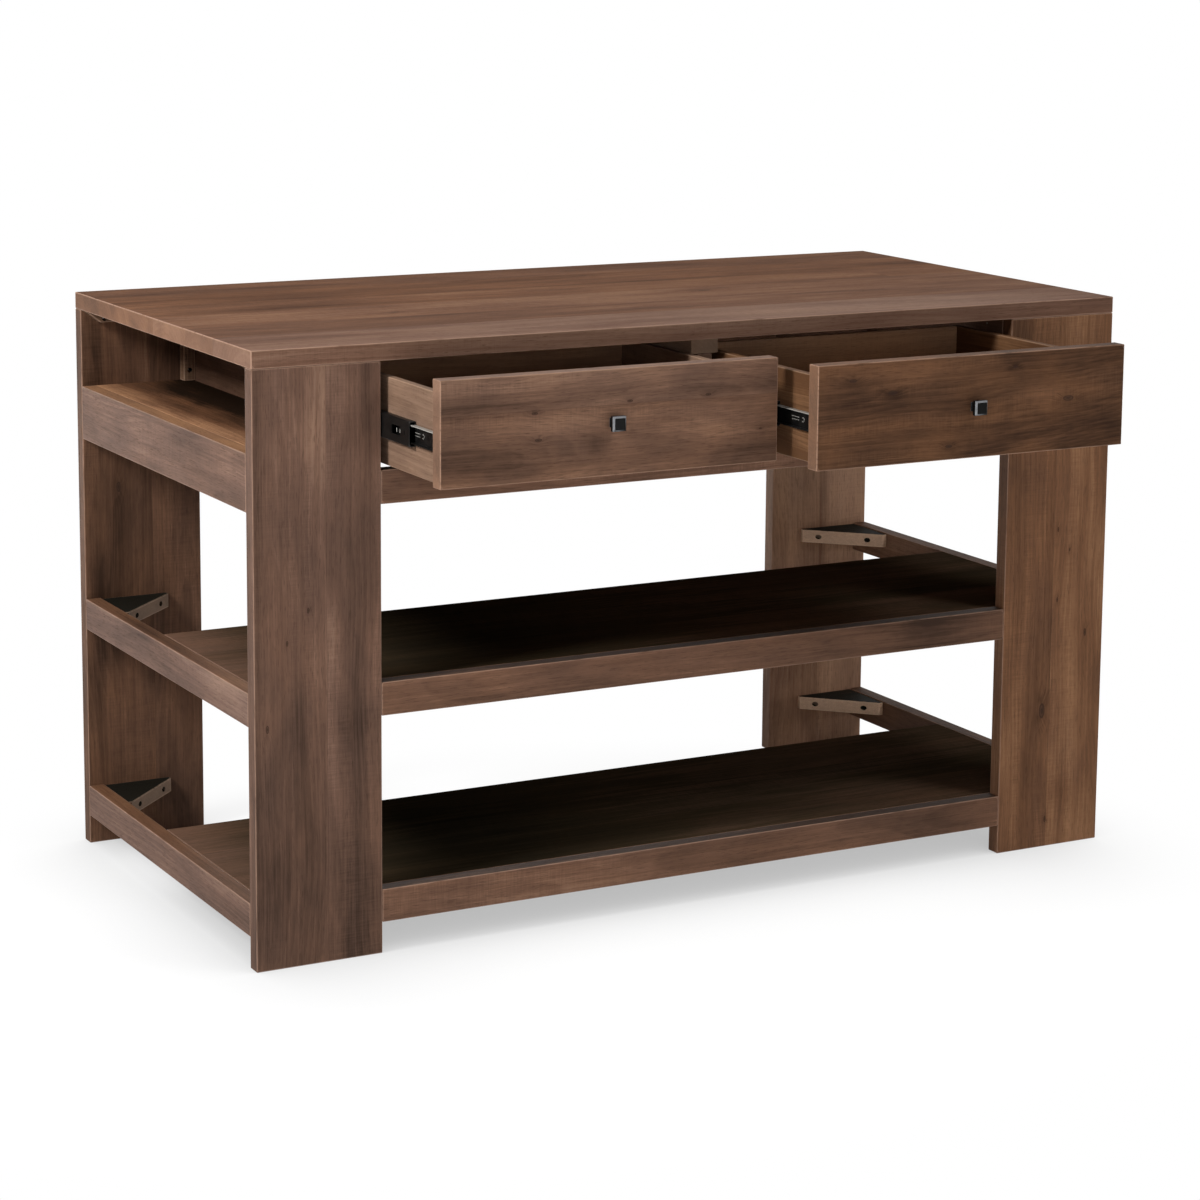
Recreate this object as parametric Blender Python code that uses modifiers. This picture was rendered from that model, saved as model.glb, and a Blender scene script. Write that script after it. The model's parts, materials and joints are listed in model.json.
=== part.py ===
"""Kitchen island: plank worktop and legs, two drawers on ball-bearing slides, two half-depth shelves
and an open cubby at each end. Metres, +Z up, the drawers pull out towards -Y.

Positions are written in island coordinates: x from the left end, y from the front face of the legs
towards the rear, z from the floor. place() turns them into the part's frame, whose origin is on the
floor, in the middle of the island with its drawers part open.
"""
import math

import bmesh
import bpy
from mathutils import Vector

for old in list(bpy.data.objects):
    bpy.data.objects.remove(old, do_unlink=True)

# Overall size
WIDTH = 1.524
DEPTH = 0.762
HEIGHT = 0.924

# Thickness of the stock
BOARD = 0.0254            # legs, aprons, rails, drawer fronts, divider and stretcher
WORKTOP = 0.0267
PANEL = 0.0127            # case sides and drawer boxes
SHELF = 0.019             # shelves and cubby floors
CLEAT = 0.0195            # square strips inside the cubbies
BLOCK = 0.0235            # triangular corner blocks
BOTTOM = 0.006            # drawer bottoms
EASE = 0.0012             # worn edge of the solid boards
SEAM = 0.0003             # gap of a joint between two pieces that touch

# Carcass
LEG_WIDTH = 0.2022
RAIL_HEIGHT = 0.0508
SHELF_DEPTH = 0.440       # from the front face, the rear stays open
LOW_SHELF_TOP = 0.0985
MID_SHELF_TOP = 0.4165
DRAWER_OPENING = 0.1615   # between the drawer rail and the worktop
CUBBY_HEIGHT = 0.1255

# Corner blocks behind the rails, at the rear legs
BLOCK_LEG = 0.115
BLOCK_TIP = 0.008
BLOCK_DROP = 0.002        # below the top of the rail
BLOCK_HOLE_INSET = 0.021  # from the tip to the screw hole

# Cleats under the worktop and posts in the cubbies
CLEAT_CHAMFER = 0.025     # slope at the cleat's outer end
CLEAT_INSET = 0.002       # from the end of the island
CLEAT_HOLE_X = 0.034
CLEAT_HOLE_RISE = 0.0062  # above the cleat's underside
POST_HOLE_RISE = 0.018    # above the cubby floor
SCREW_HOLE = 0.0033       # radius

# Drawers
REVEAL = 0.0026           # gap round an inset drawer front
OPEN_LEFT = 0.197         # how far each drawer stands open
OPEN_RIGHT = 0.301
BOX_LIFT = 0.0054         # drawer box above the drawer rail
BOX_DROP = 0.0243         # drawer box below the worktop
BOX_EXTRA = 0.0064        # drawer box longer than its slides
GROOVE_DEPTH = 0.006
GROOVE_RISE = 0.009       # drawer bottom above the lower edge of the box
STOP_GAP = 0.001          # behind a closed drawer front
BOX_SIDE_GAP = 0.0015     # between a drawer box and the stretcher above the divider

# Slides
SLIDE_GAP = 0.0127        # room for a slide beside the box
SLIDE_LENGTH = 0.400
SLIDE_SETBACK = 0.0045    # of the fixed channel, behind the drawer front
SLIDE_RISE = 0.062        # centre line above the lower edge of the box
DRAWER_CHANNEL = 0.027    # height of the channel on the box
MIDDLE_FLANGE = 0.005     # flange with its ball race
CABINET_FLANGE = 0.0037
GAUGE = 0.0012            # sheet of the channels' webs
RUN_GAP = 0.0003          # between channels that slide in each other
RUNNER_SHARE = 0.62       # of a drawer's travel that its middle channels make

# Knobs
KNOB_HEAD = 0.0225        # square head
KNOB_FACE = 0.0170
KNOB_NECK = 0.0105
KNOB_BASE = 0.0140
KNOB_OUT = 0.0205         # reach in front of the drawer front
KNOB_HEAD_DEPTH = 0.0085
KNOB_BEVEL = 0.0030
KNOB_BASE_DEPTH = 0.0025
SCREW_SHANK = 0.0020      # radius
SCREW_HEAD = 0.0045
SCREW_HEAD_DEPTH = 0.0026
SCREW_REACH = 0.0075      # into the knob
SCREW_CLEARANCE = 0.0002

ROUND_SIDES = 20

# Levels that follow from the sizes above
UNDER_TOP = HEIGHT - WORKTOP
CARCASS_TOP = UNDER_TOP - SEAM
RAIL_TOP = UNDER_TOP - DRAWER_OPENING
APRON_BOTTOM = RAIL_TOP - RAIL_HEIGHT
APRON_TOP = UNDER_TOP - CUBBY_HEIGHT
REAR_FACE = DEPTH - BOARD                # inner face of the rear legs
FRONT_INNER = BOARD + SEAM
REAR_INNER = REAR_FACE - SEAM
CASE_FRONT = BOARD + STOP_GAP
MIDDLE_CHANNEL = DRAWER_CHANNEL + 2 * (MIDDLE_FLANGE + RUN_GAP)
CABINET_CHANNEL = MIDDLE_CHANNEL + 2 * (CABINET_FLANGE + RUN_GAP)
BOX_BOTTOM = RAIL_TOP + BOX_LIFT
BOX_TOP = UNDER_TOP - BOX_DROP
BOX_FRONT = FRONT_INNER                  # seam behind a closed front
BOX_REAR = BOX_FRONT + SLIDE_LENGTH + BOX_EXTRA
SLIDE_Z = BOX_BOTTOM + SLIDE_RISE
FRONT_Y = -(DEPTH - OPEN_RIGHT - KNOB_OUT) / 2

# Colour (linear), roughness and metallic value of each finish
FINISHES = {
    "worktop": ((0.190, 0.120, 0.090), 0.42, 0.0),
    "frame": ((0.150, 0.088, 0.060), 0.48, 0.0),
    "shelf": ((0.120, 0.070, 0.048), 0.46, 0.0),
    "front": ((0.155, 0.090, 0.060), 0.45, 0.0),
    "box": ((0.300, 0.175, 0.105), 0.55, 0.0),
    "block": ((0.210, 0.130, 0.090), 0.60, 0.0),
    "slide": ((0.012, 0.012, 0.013), 0.42, 0.6),
    "knob": ((0.016, 0.016, 0.017), 0.35, 0.7),
    "screw": ((0.420, 0.410, 0.400), 0.35, 1.0),
}

PARTS = bpy.data.collections.new("kitchen_island")
CUTTERS = bpy.data.collections.new("kitchen_island_cutters")
for collection in (PARTS, CUTTERS):
    bpy.context.scene.collection.children.link(collection)


def place(x, y, z):
    """Island coordinates to the part's frame."""
    return Vector((x - WIDTH / 2, y + FRONT_Y, z))


def dress(obj, finish):
    """Gives an object a material of its own with the values of a finish."""
    colour, roughness, metallic = FINISHES[finish]
    material = bpy.data.materials.new(obj.name + "_finish")
    material.use_nodes = True
    shader = material.node_tree.nodes["Principled BSDF"]
    shader.inputs["Base Color"].default_value = (*colour, 1.0)
    shader.inputs["Roughness"].default_value = roughness
    shader.inputs["Metallic"].default_value = metallic
    obj.data.materials.append(material)


def add_object(name, mesh, location, collection=PARTS):
    obj = bpy.data.objects.new(name, mesh)
    obj.location = location
    collection.objects.link(obj)
    if collection is CUTTERS:
        obj.hide_render = True
        obj.display_type = "WIRE"
    return obj


def ease_edges(obj, width):
    bevel = obj.modifiers.new("eased_edges", "BEVEL")
    bevel.width = width
    bevel.segments = 1
    bevel.limit_method = "ANGLE"


def cut(obj, cutter):
    boolean = obj.modifiers.new(cutter.name, "BOOLEAN")
    boolean.operation = "DIFFERENCE"
    boolean.solver = "EXACT"
    boolean.object = cutter


def box_mesh(name, x, y, z):
    """A box between pairs of island coordinates, with the point of its centre."""
    low = place(x[0], y[0], z[0])
    high = place(x[1], y[1], z[1])
    mesh = bpy.data.meshes.new(name)
    shape = bmesh.new()
    bmesh.ops.create_cube(shape, size=1.0)
    bmesh.ops.scale(shape, vec=high - low, verts=shape.verts)
    shape.to_mesh(mesh)
    shape.free()
    return mesh, (low + high) / 2


def board(name, x, y, z, finish):
    """A straight board with eased edges."""
    mesh, centre = box_mesh(name, x, y, z)
    obj = add_object(name, mesh, centre)
    ease_edges(obj, EASE)
    dress(obj, finish)
    return obj


def box_cutter(name, x, y, z):
    mesh, centre = box_mesh(name, x, y, z)
    return add_object(name, mesh, centre, CUTTERS)


def hole_cutter(name, centre, axis, radius, length):
    """A drill for a round hole along the X or the Y axis, centred on a point."""
    mesh = bpy.data.meshes.new(name)
    shape = bmesh.new()
    bmesh.ops.create_cone(shape, cap_ends=True, segments=ROUND_SIDES, radius1=radius, radius2=radius,
                          depth=length)
    shape.to_mesh(mesh)
    shape.free()
    obj = add_object(name, mesh, centre, CUTTERS)
    quarter = math.pi / 2
    obj.rotation_euler = (quarter, 0, 0) if axis == "Y" else (0, quarter, 0)
    return obj


def outline_solid(name, outline, thickness, centre, finish, upright=False):
    """A flat outline given its thickness. Upright, the outline's second axis is Z and it is thick in Y."""
    curve = bpy.data.curves.new(name, "CURVE")
    curve.dimensions = "2D"
    curve.fill_mode = "BOTH"
    curve.extrude = thickness / 2
    spline = curve.splines.new("POLY")
    spline.points.add(len(outline) - 1)
    for point, (u, v) in zip(spline.points, outline):
        point.co = (u, v, 0, 1)
    spline.use_cyclic_u = True
    guide = add_object(name + "_outline", curve, (0, 0, 0))
    if upright:
        guide.rotation_euler = (math.pi / 2, 0, 0)
    bpy.context.view_layer.update()
    graph = bpy.context.evaluated_depsgraph_get()
    mesh = bpy.data.meshes.new_from_object(guide.evaluated_get(graph))
    mesh.name = name
    mesh.transform(guide.matrix_world)
    shape = bmesh.new()
    shape.from_mesh(mesh)
    bmesh.ops.remove_doubles(shape, verts=shape.verts, dist=0.00001)
    bmesh.ops.recalc_face_normals(shape, faces=shape.faces)
    shape.to_mesh(mesh)
    shape.free()
    bpy.data.objects.remove(guide, do_unlink=True)
    obj = add_object(name, mesh, centre)
    dress(obj, finish)
    return obj


def turned(name, profile, sides, centre, finish, twist=0.0):
    """A profile of (radius, reach) pairs, outermost end first, turned about an axis along -Y."""
    mesh = bpy.data.meshes.new(name)
    shape = bmesh.new()
    points = [shape.verts.new((radius, 0, reach)) for radius, reach in profile]
    for first, second in zip(points, points[1:]):
        shape.edges.new((first, second))
    shape.to_mesh(mesh)
    shape.free()
    obj = add_object(name, mesh, centre)
    obj.rotation_mode = "ZYX"
    obj.rotation_euler = (math.pi / 2, 0, twist)
    screw = obj.modifiers.new("turn", "SCREW")
    screw.axis = "Z"
    screw.steps = sides
    screw.render_steps = sides
    screw.use_merge_vertices = True
    screw.merge_threshold = 0.00001
    screw.use_smooth_shade = False
    dress(obj, finish)
    return obj


def carry(name, pieces, centre):
    """Hangs moving pieces on an empty that lies on the line they slide along."""
    axis = bpy.data.objects.new(name, None)
    axis.location = centre
    PARTS.objects.link(axis)
    for piece in pieces:
        piece.parent = axis
        piece.location = piece.location - centre


def build_worktop():
    board("worktop", (0, WIDTH), (0, DEPTH), (UNDER_TOP, HEIGHT), "worktop")


def build_legs():
    ends = {"left": (0, LEG_WIDTH), "right": (WIDTH - LEG_WIDTH, WIDTH)}
    rows = {"front": (0, BOARD), "rear": (REAR_FACE, DEPTH)}
    for end, x in ends.items():
        for row, y in rows.items():
            board(f"leg_{row}_{end}", x, y, (0, CARCASS_TOP), "frame")


def end_span(end, near, far):
    """A span of x measured in from the left or the right end."""
    return (near, far) if end == "left" else (WIDTH - far, WIDTH - near)


def build_end(end):
    """Apron, rails, cubby and corner blocks of one end."""
    y = (FRONT_INNER, REAR_INNER)
    x = end_span(end, 0, BOARD)
    board(f"apron_{end}", x, y, (APRON_BOTTOM, APRON_TOP), "frame")
    board(f"rail_mid_{end}", x, y, (MID_SHELF_TOP - RAIL_HEIGHT, MID_SHELF_TOP), "frame")
    board(f"rail_low_{end}", x, y, (LOW_SHELF_TOP - RAIL_HEIGHT, LOW_SHELF_TOP), "frame")
    case_x = end_span(end, LEG_WIDTH - PANEL, LEG_WIDTH)
    board(f"case_side_{end}", case_x, y, (APRON_BOTTOM, CARCASS_TOP), "frame")
    wall = LEG_WIDTH - PANEL - SEAM
    floor_x = end_span(end, BOARD + SEAM, wall)
    board(f"cubby_floor_{end}", floor_x, y, (APRON_TOP - SHELF, APRON_TOP), "frame")
    build_post(end, wall)
    build_cleat(end, "front", wall - CLEAT - SEAM, FRONT_INNER, FRONT_INNER + CLEAT)
    build_cleat(end, "rear", wall - CLEAT - SEAM, REAR_INNER - CLEAT, REAR_INNER)
    build_corner_block(end, "mid", MID_SHELF_TOP - BLOCK_DROP)
    build_corner_block(end, "low", LOW_SHELF_TOP - BLOCK_DROP)


def build_post(end, wall):
    """Strip in the rear inner corner of a cubby, screwed to the rear leg."""
    x = end_span(end, wall - CLEAT, wall)
    y = (REAR_INNER - CLEAT, REAR_INNER)
    post = board(f"post_{end}", x, y, (APRON_TOP + SEAM, CARCASS_TOP), "block")
    middle = place(sum(x) / 2, sum(y) / 2, APRON_TOP + POST_HOLE_RISE)
    cut(post, hole_cutter(f"cut_post_{end}", middle, "Y", SCREW_HOLE, 2 * CLEAT))


def build_cleat(end, row, inner, near, far):
    """Strip under the worktop along a leg, sloped at its outer end, screwed to the leg."""
    direction = 1 if end == "left" else -1
    corner = 0 if end == "left" else WIDTH
    low = -CLEAT
    outline = [(CLEAT_INSET, 0), (CLEAT_INSET + CLEAT_CHAMFER, low), (inner, low), (inner, 0)]
    outline = [(direction * u, v) for u, v in outline]
    centre = place(corner, (near + far) / 2, CARCASS_TOP)
    cleat = outline_solid(f"cleat_{row}_{end}", outline, CLEAT, centre, "block", upright=True)
    drill = place(corner + direction * CLEAT_HOLE_X, (near + far) / 2, CARCASS_TOP - CLEAT + CLEAT_HOLE_RISE)
    cut(cleat, hole_cutter(f"cut_cleat_{row}_{end}", drill, "Y", SCREW_HOLE, 2 * CLEAT))


def build_corner_block(end, level, top):
    """Triangular block in the corner between a rear leg and a side rail, with blunt tips."""
    direction = 1 if end == "left" else -1
    corner_x = BOARD + SEAM if end == "left" else WIDTH - BOARD - SEAM
    outline = [(0, 0), (BLOCK_LEG, 0), (BLOCK_LEG, -BLOCK_TIP), (BLOCK_TIP, -BLOCK_LEG), (0, -BLOCK_LEG)]
    outline = [(direction * u, v) for u, v in outline]
    z = top - BLOCK / 2
    name = f"corner_block_{level}_{end}"
    block = outline_solid(name, outline, BLOCK, place(corner_x, REAR_INNER, z), "block")
    ease_edges(block, EASE)
    along = BLOCK_LEG - BLOCK_HOLE_INSET
    to_leg = place(corner_x + direction * along, REAR_INNER, z)
    to_rail = place(corner_x, REAR_INNER - along, z)
    cut(block, hole_cutter(f"cut_{name}_leg", to_leg, "Y", SCREW_HOLE, 2 * BLOCK_LEG))
    cut(block, hole_cutter(f"cut_{name}_rail", to_rail, "X", SCREW_HOLE, 2 * BLOCK_LEG))


def build_shelves():
    between_legs = (LEG_WIDTH + SEAM, WIDTH - LEG_WIDTH - SEAM)
    between_rails = (BOARD + SEAM, WIDTH - BOARD - SEAM)
    for level, top in (("mid", MID_SHELF_TOP), ("low", LOW_SHELF_TOP)):
        board(f"shelf_{level}", between_rails, (FRONT_INNER, SHELF_DEPTH), (top - SHELF, top), "shelf")
        board(f"shelf_rail_{level}", between_legs, (0, BOARD), (top - RAIL_HEIGHT, top), "frame")


def build_case():
    """Drawer rail, rear apron, and the divider with the stretcher above it."""
    between_legs = (LEG_WIDTH + SEAM, WIDTH - LEG_WIDTH - SEAM)
    middle = WIDTH / 2
    y = (CASE_FRONT, REAR_INNER)
    stretcher_bottom = CARCASS_TOP - BOARD
    half = BOARD / 2 + SLIDE_GAP - BOX_SIDE_GAP
    board("drawer_rail", between_legs, (0, BOARD), (APRON_BOTTOM, RAIL_TOP), "frame")
    board("rear_apron", between_legs, (REAR_FACE, DEPTH), (APRON_BOTTOM, CARCASS_TOP), "frame")
    board("stretcher", (middle - half, middle + half), y, (stretcher_bottom, CARCASS_TOP), "block")
    divider_x = (middle - BOARD / 2, middle + BOARD / 2)
    divider_y = (FRONT_INNER, REAR_INNER)
    divider = board("divider", divider_x, divider_y, (APRON_BOTTOM, stretcher_bottom - SEAM), "frame")
    notch_y = (0, CASE_FRONT)
    notch = box_cutter("cut_divider", (divider_x[0] - BOARD, divider_x[1] + BOARD), notch_y,
                       (RAIL_TOP + SEAM, UNDER_TOP))
    cut(divider, notch)


def channel(height, flange, near, web, far):
    """Outline of a slide channel: a web at the near side and two flanges that reach to the far side."""
    half = height / 2
    inside = half - flange
    return [(near, -half), (far, -half), (far, -inside), (web, -inside),
            (web, inside), (far, inside), (far, half), (near, half)]


def build_slide(name, face, direction, opened):
    """One slide of three channels on a case wall. direction points from the wall to the drawer box."""
    cabinet_web = SEAM + GAUGE
    middle_near = cabinet_web + RUN_GAP
    middle_web = middle_near + GAUGE
    flange_end = SLIDE_GAP - GAUGE
    box_face = SLIDE_GAP - SEAM
    outlines = {
        "cabinet": channel(CABINET_CHANNEL, CABINET_FLANGE, SEAM, cabinet_web, flange_end),
        "middle": channel(MIDDLE_CHANNEL, MIDDLE_FLANGE, middle_near, middle_web, flange_end),
        "drawer": channel(DRAWER_CHANNEL, GAUGE, box_face, box_face - GAUGE, middle_web + RUN_GAP),
    }
    fixed = BOARD + SLIDE_SETBACK
    starts = {"cabinet": fixed, "middle": fixed - RUNNER_SHARE * opened, "drawer": FRONT_INNER - opened}
    members = {}
    for member, outline in outlines.items():
        outline = [(direction * u, v) for u, v in outline]
        centre = place(face, starts[member] + SLIDE_LENGTH / 2, SLIDE_Z)
        members[member] = outline_solid(f"{name}_{member}", outline, SLIDE_LENGTH, centre, "slide",
                                        upright=True)
    return members


def build_knob(side, x, front_y):
    """Square knob with a bevelled head, and the screw that holds it through the drawer front."""
    z = RAIL_TOP + DRAWER_OPENING / 2
    corner = math.sqrt(0.5)
    reach = KNOB_OUT - SEAM
    head_back = reach - KNOB_HEAD_DEPTH
    profile = [(0, reach), (KNOB_FACE, reach), (KNOB_HEAD, reach - KNOB_BEVEL), (KNOB_HEAD, head_back),
               (KNOB_NECK, head_back), (KNOB_NECK, KNOB_BASE_DEPTH), (KNOB_BASE, 0), (0, 0)]
    profile = [(size * corner, out) for size, out in profile]
    seat = place(x, front_y - SEAM, z)
    knob = turned(f"knob_{side}", profile, 4, seat, "knob", twist=math.pi / 4)
    drill_radius = SCREW_SHANK + SCREW_CLEARANCE
    depth = SCREW_REACH + SCREW_CLEARANCE
    tapped = hole_cutter(f"cut_knob_{side}", place(x, front_y - SEAM, z), "Y", drill_radius, 2 * depth)
    cut(knob, tapped)
    inside = BOARD + SEAM
    tip = inside + SEAM + SCREW_REACH
    screw_profile = [(0, tip), (SCREW_SHANK, tip), (SCREW_SHANK, 0), (SCREW_HEAD, 0),
                     (SCREW_HEAD, -SCREW_HEAD_DEPTH), (0, -SCREW_HEAD_DEPTH)]
    screw = turned(f"knob_screw_{side}", screw_profile, ROUND_SIDES, place(x, front_y + inside, z), "screw")
    front_drill = hole_cutter(f"cut_front_{side}", place(x, front_y, z), "Y", drill_radius, 3 * BOARD)
    return knob, screw, front_drill


def build_drawer(side, front_x, case_x, opened):
    """Drawer front, box, bottom and knob, with the slides on both sides of the box."""
    box_x = (case_x[0] + SLIDE_GAP, case_x[1] - SLIDE_GAP)
    inner_x = (box_x[0] + PANEL, box_x[1] - PANEL)
    front_y = -opened
    rear_y = BOX_REAR - opened
    box_y = (BOX_FRONT - opened, rear_y)
    box_z = (BOX_BOTTOM, BOX_TOP)
    name = f"drawer_{side}"
    front_z = (RAIL_TOP + REVEAL, UNDER_TOP - REVEAL)
    front = board(f"{name}_front", front_x, (front_y, front_y + BOARD), front_z, "front")
    walls = [
        board(f"{name}_side_left", (box_x[0], inner_x[0]), box_y, box_z, "box"),
        board(f"{name}_side_right", (inner_x[1], box_x[1]), box_y, box_z, "box"),
        board(f"{name}_back", (inner_x[0] + SEAM, inner_x[1] - SEAM), (rear_y - PANEL, rear_y), box_z, "box"),
    ]
    edge = GROOVE_DEPTH - SEAM
    bottom_x = (inner_x[0] - edge, inner_x[1] + edge)
    bottom_y = (front_y + BOARD - edge, rear_y - PANEL + edge)
    bottom_z = (BOX_BOTTOM + GROOVE_RISE, BOX_BOTTOM + GROOVE_RISE + BOTTOM)
    mesh, centre = box_mesh(f"{name}_bottom", bottom_x, bottom_y, bottom_z)
    bottom = add_object(f"{name}_bottom", mesh, centre)
    dress(bottom, "box")
    groove = box_cutter(f"cut_{name}_groove", *[(low - SEAM, high + SEAM)
                                                for low, high in (bottom_x, bottom_y, bottom_z)])
    knob, screw, front_drill = build_knob(side, sum(front_x) / 2, front_y)
    cut(front, front_drill)
    for piece in (front, *walls):
        cut(piece, groove)
    left_place, right_place = ("outer", "inner") if side == "left" else ("inner", "outer")
    left = build_slide(f"slide_{side}_{left_place}", case_x[0], 1, opened)
    right = build_slide(f"slide_{side}_{right_place}", case_x[1], -1, opened)
    moving = [front, *walls, bottom, knob, screw, left["drawer"], right["drawer"]]
    carry(f"{name}_axis", moving, place(sum(front_x) / 2, front_y, SLIDE_Z))
    for member in (left["middle"], right["middle"]):
        carry(f"{member.name}_axis", [member], member.location.copy())


def build_drawers():
    middle = WIDTH / 2
    left_front = (LEG_WIDTH + REVEAL, middle - REVEAL)
    right_front = (middle + REVEAL, WIDTH - LEG_WIDTH - REVEAL)
    left_case = (LEG_WIDTH, middle - BOARD / 2)
    right_case = (middle + BOARD / 2, WIDTH - LEG_WIDTH)
    build_drawer("left", left_front, left_case, OPEN_LEFT)
    build_drawer("right", right_front, right_case, OPEN_RIGHT)


build_worktop()
build_legs()
for side in ("left", "right"):
    build_end(side)
build_shelves()
build_case()
build_drawers()
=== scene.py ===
# %% [markdown]
# # A kitchen island, dressed
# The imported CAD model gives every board, slide and knob of this island its place. This lesson turns
# those plain solids into stained timber, black coated steel and zinc screws. Each piece is built in
# the box of the CAD node that it stands for, so the large sizes are not measured again here.

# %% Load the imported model
import json
import math
import random
from functools import partialmethod
from itertools import product

import bmesh
import bpy
from mathutils import Matrix, Vector

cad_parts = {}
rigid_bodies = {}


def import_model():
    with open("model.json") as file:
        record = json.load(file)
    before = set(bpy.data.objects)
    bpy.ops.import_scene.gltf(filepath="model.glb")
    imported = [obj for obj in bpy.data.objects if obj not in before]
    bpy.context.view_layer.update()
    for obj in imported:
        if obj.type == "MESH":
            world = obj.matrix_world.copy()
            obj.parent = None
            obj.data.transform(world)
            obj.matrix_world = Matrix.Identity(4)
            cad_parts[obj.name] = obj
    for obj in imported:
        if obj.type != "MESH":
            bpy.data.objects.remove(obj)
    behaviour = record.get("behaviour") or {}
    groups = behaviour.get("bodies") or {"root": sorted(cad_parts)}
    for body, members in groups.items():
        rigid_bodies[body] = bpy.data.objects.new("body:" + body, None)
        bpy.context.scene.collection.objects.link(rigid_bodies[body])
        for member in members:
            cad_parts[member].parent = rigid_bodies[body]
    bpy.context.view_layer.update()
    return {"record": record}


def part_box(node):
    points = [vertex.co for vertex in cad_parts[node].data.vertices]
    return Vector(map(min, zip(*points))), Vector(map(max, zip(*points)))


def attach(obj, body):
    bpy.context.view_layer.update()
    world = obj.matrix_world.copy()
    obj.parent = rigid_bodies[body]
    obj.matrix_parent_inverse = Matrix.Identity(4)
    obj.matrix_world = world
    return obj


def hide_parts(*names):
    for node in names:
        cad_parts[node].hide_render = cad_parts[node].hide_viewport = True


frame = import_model()
scene = bpy.context.scene
scene.view_settings.view_transform = "Standard"
record = frame["record"]
body_of = {node: body for body, nodes in record["behaviour"]["bodies"].items() for node in nodes}
slot_of = {row["node"]: row["material_slot"] for row in record["subparts"]}

# %% [markdown]
# The maker's drawing counts x from the left end, y from the front face of the legs and z from the
# floor, as a tape measure would. The model's own origin lies elsewhere. A parent could carry that
# shift, but every finished piece has to stand at the world's origin with its place in its mesh. So
# one small function moves a point from the drawing to the model.

# %% From the drawing to the model
ORIGIN = Vector((-0.762, -0.22025, 0.0))


def at(x, y, z):
    """A point of the maker's drawing, in the model's frame."""
    return ORIGIN + Vector((x, y, z))


print("front left foot at", tuple(round(c, 4) for c in at(0, 0, 0)))

# %% [markdown]
# The picture was taken from the left of the drawers, a little above the worktop, with a long lens.
# A camera could be aimed by eye or with a Track To constraint. Here its place and its three angles
# were solved from corners of the island in the photograph, so that every edge falls where it
# should. The lens shift makes up for the way the picture was cropped.

# %% Camera
CAMERA_PLACE = at(-1.6905, -4.2108, 1.5636)
AZIMUTH, ELEVATION, ROLL = (math.radians(angle) for angle in (-28.559, 9.277, 0.507))
SENSOR_WIDTH, FOCAL_LENGTH = 36.0, 95.84
SHIFT_X, SHIFT_Y = -0.0175, -0.149


def new_object(name, data):
    """Puts a mesh, a lamp or a camera into the scene."""
    obj = bpy.data.objects.new(name, data)
    scene.collection.objects.link(obj)
    return obj


def make_camera():
    flat = math.cos(ELEVATION)
    back = Vector((math.sin(AZIMUTH) * flat, -math.cos(AZIMUTH) * flat, math.sin(ELEVATION)))
    right = (-back).cross(Vector((0, 0, 1))).normalized()
    level = Matrix((right, right.cross(-back), back)).transposed()
    turned = level @ Matrix.Rotation(ROLL, 3, "Z")
    lens = bpy.data.cameras.new("photo_camera")
    lens.sensor_width, lens.lens = SENSOR_WIDTH, FOCAL_LENGTH
    lens.shift_x, lens.shift_y = SHIFT_X, SHIFT_Y
    camera = new_object("photo_camera", lens)
    camera.matrix_world = Matrix.Translation(CAMERA_PLACE) @ turned.to_4x4()
    scene.camera = camera
    return camera


print("camera", make_camera().name, "looks from", tuple(round(c, 3) for c in CAMERA_PLACE))

# %% [markdown]
# A material is a tree of nodes, and many of them are plain sums. Written out one by one, a chain of
# Math nodes is long and hard to read. So the output of a node is wrapped in a small class: wires
# are added and multiplied like numbers, and each operator adds the Math node for it. The helpers
# add a node, fill its inputs and hand back its output, so that a material reads like a recipe.

# %% Wiring helpers
PREFIXES = {"SHADER": "ShaderNode", "GEOMETRY": "GeometryNode"}


class Wire:
    """The output of a node, to be reckoned with. Each operator adds a Math node."""

    def __init__(self, socket):
        self.socket, self.tree = socket, socket.id_data

    def math(self, operation, *others):
        return add(self.tree, "ShaderNodeMath", self, *others, operation=operation)

    __add__ = partialmethod(math, "ADD")
    __sub__ = partialmethod(math, "SUBTRACT")
    __mul__ = partialmethod(math, "MULTIPLY")
    __truediv__ = partialmethod(math, "DIVIDE")


def feed(made, *in_order, **by_name):
    """Fills the inputs of a node. A wire or a list of wires is linked, other values are set."""
    pairs = list(zip(made.inputs, in_order))
    pairs += [(made.inputs[name.replace("_", " ")], value) for name, value in by_name.items()]
    for socket, value in pairs:
        if isinstance(value, (Wire, list)):
            for wire in value if isinstance(value, list) else [value]:
                made.id_data.links.new(wire.socket, socket)
        elif value is not None:
            socket.default_value = value


def add(tree, kind, *in_order, out=0, **named):
    """Adds a node and hands back one output, or those in a tuple.

    Capitalised names are inputs of the node, the others are its settings.
    """
    made = tree.nodes.new(kind if "Node" in kind else PREFIXES[tree.type] + kind)
    for key, value in named.items():
        if key[0].islower():
            setattr(made, key, value)
    feed(made, *in_order, **{key: value for key, value in named.items() if key[0].isupper()})
    if isinstance(out, tuple):
        return [Wire(made.outputs[name]) for name in out]
    return Wire(made.outputs[out])


print("nodes are added as", " or ".join(PREFIXES.values()))
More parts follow.
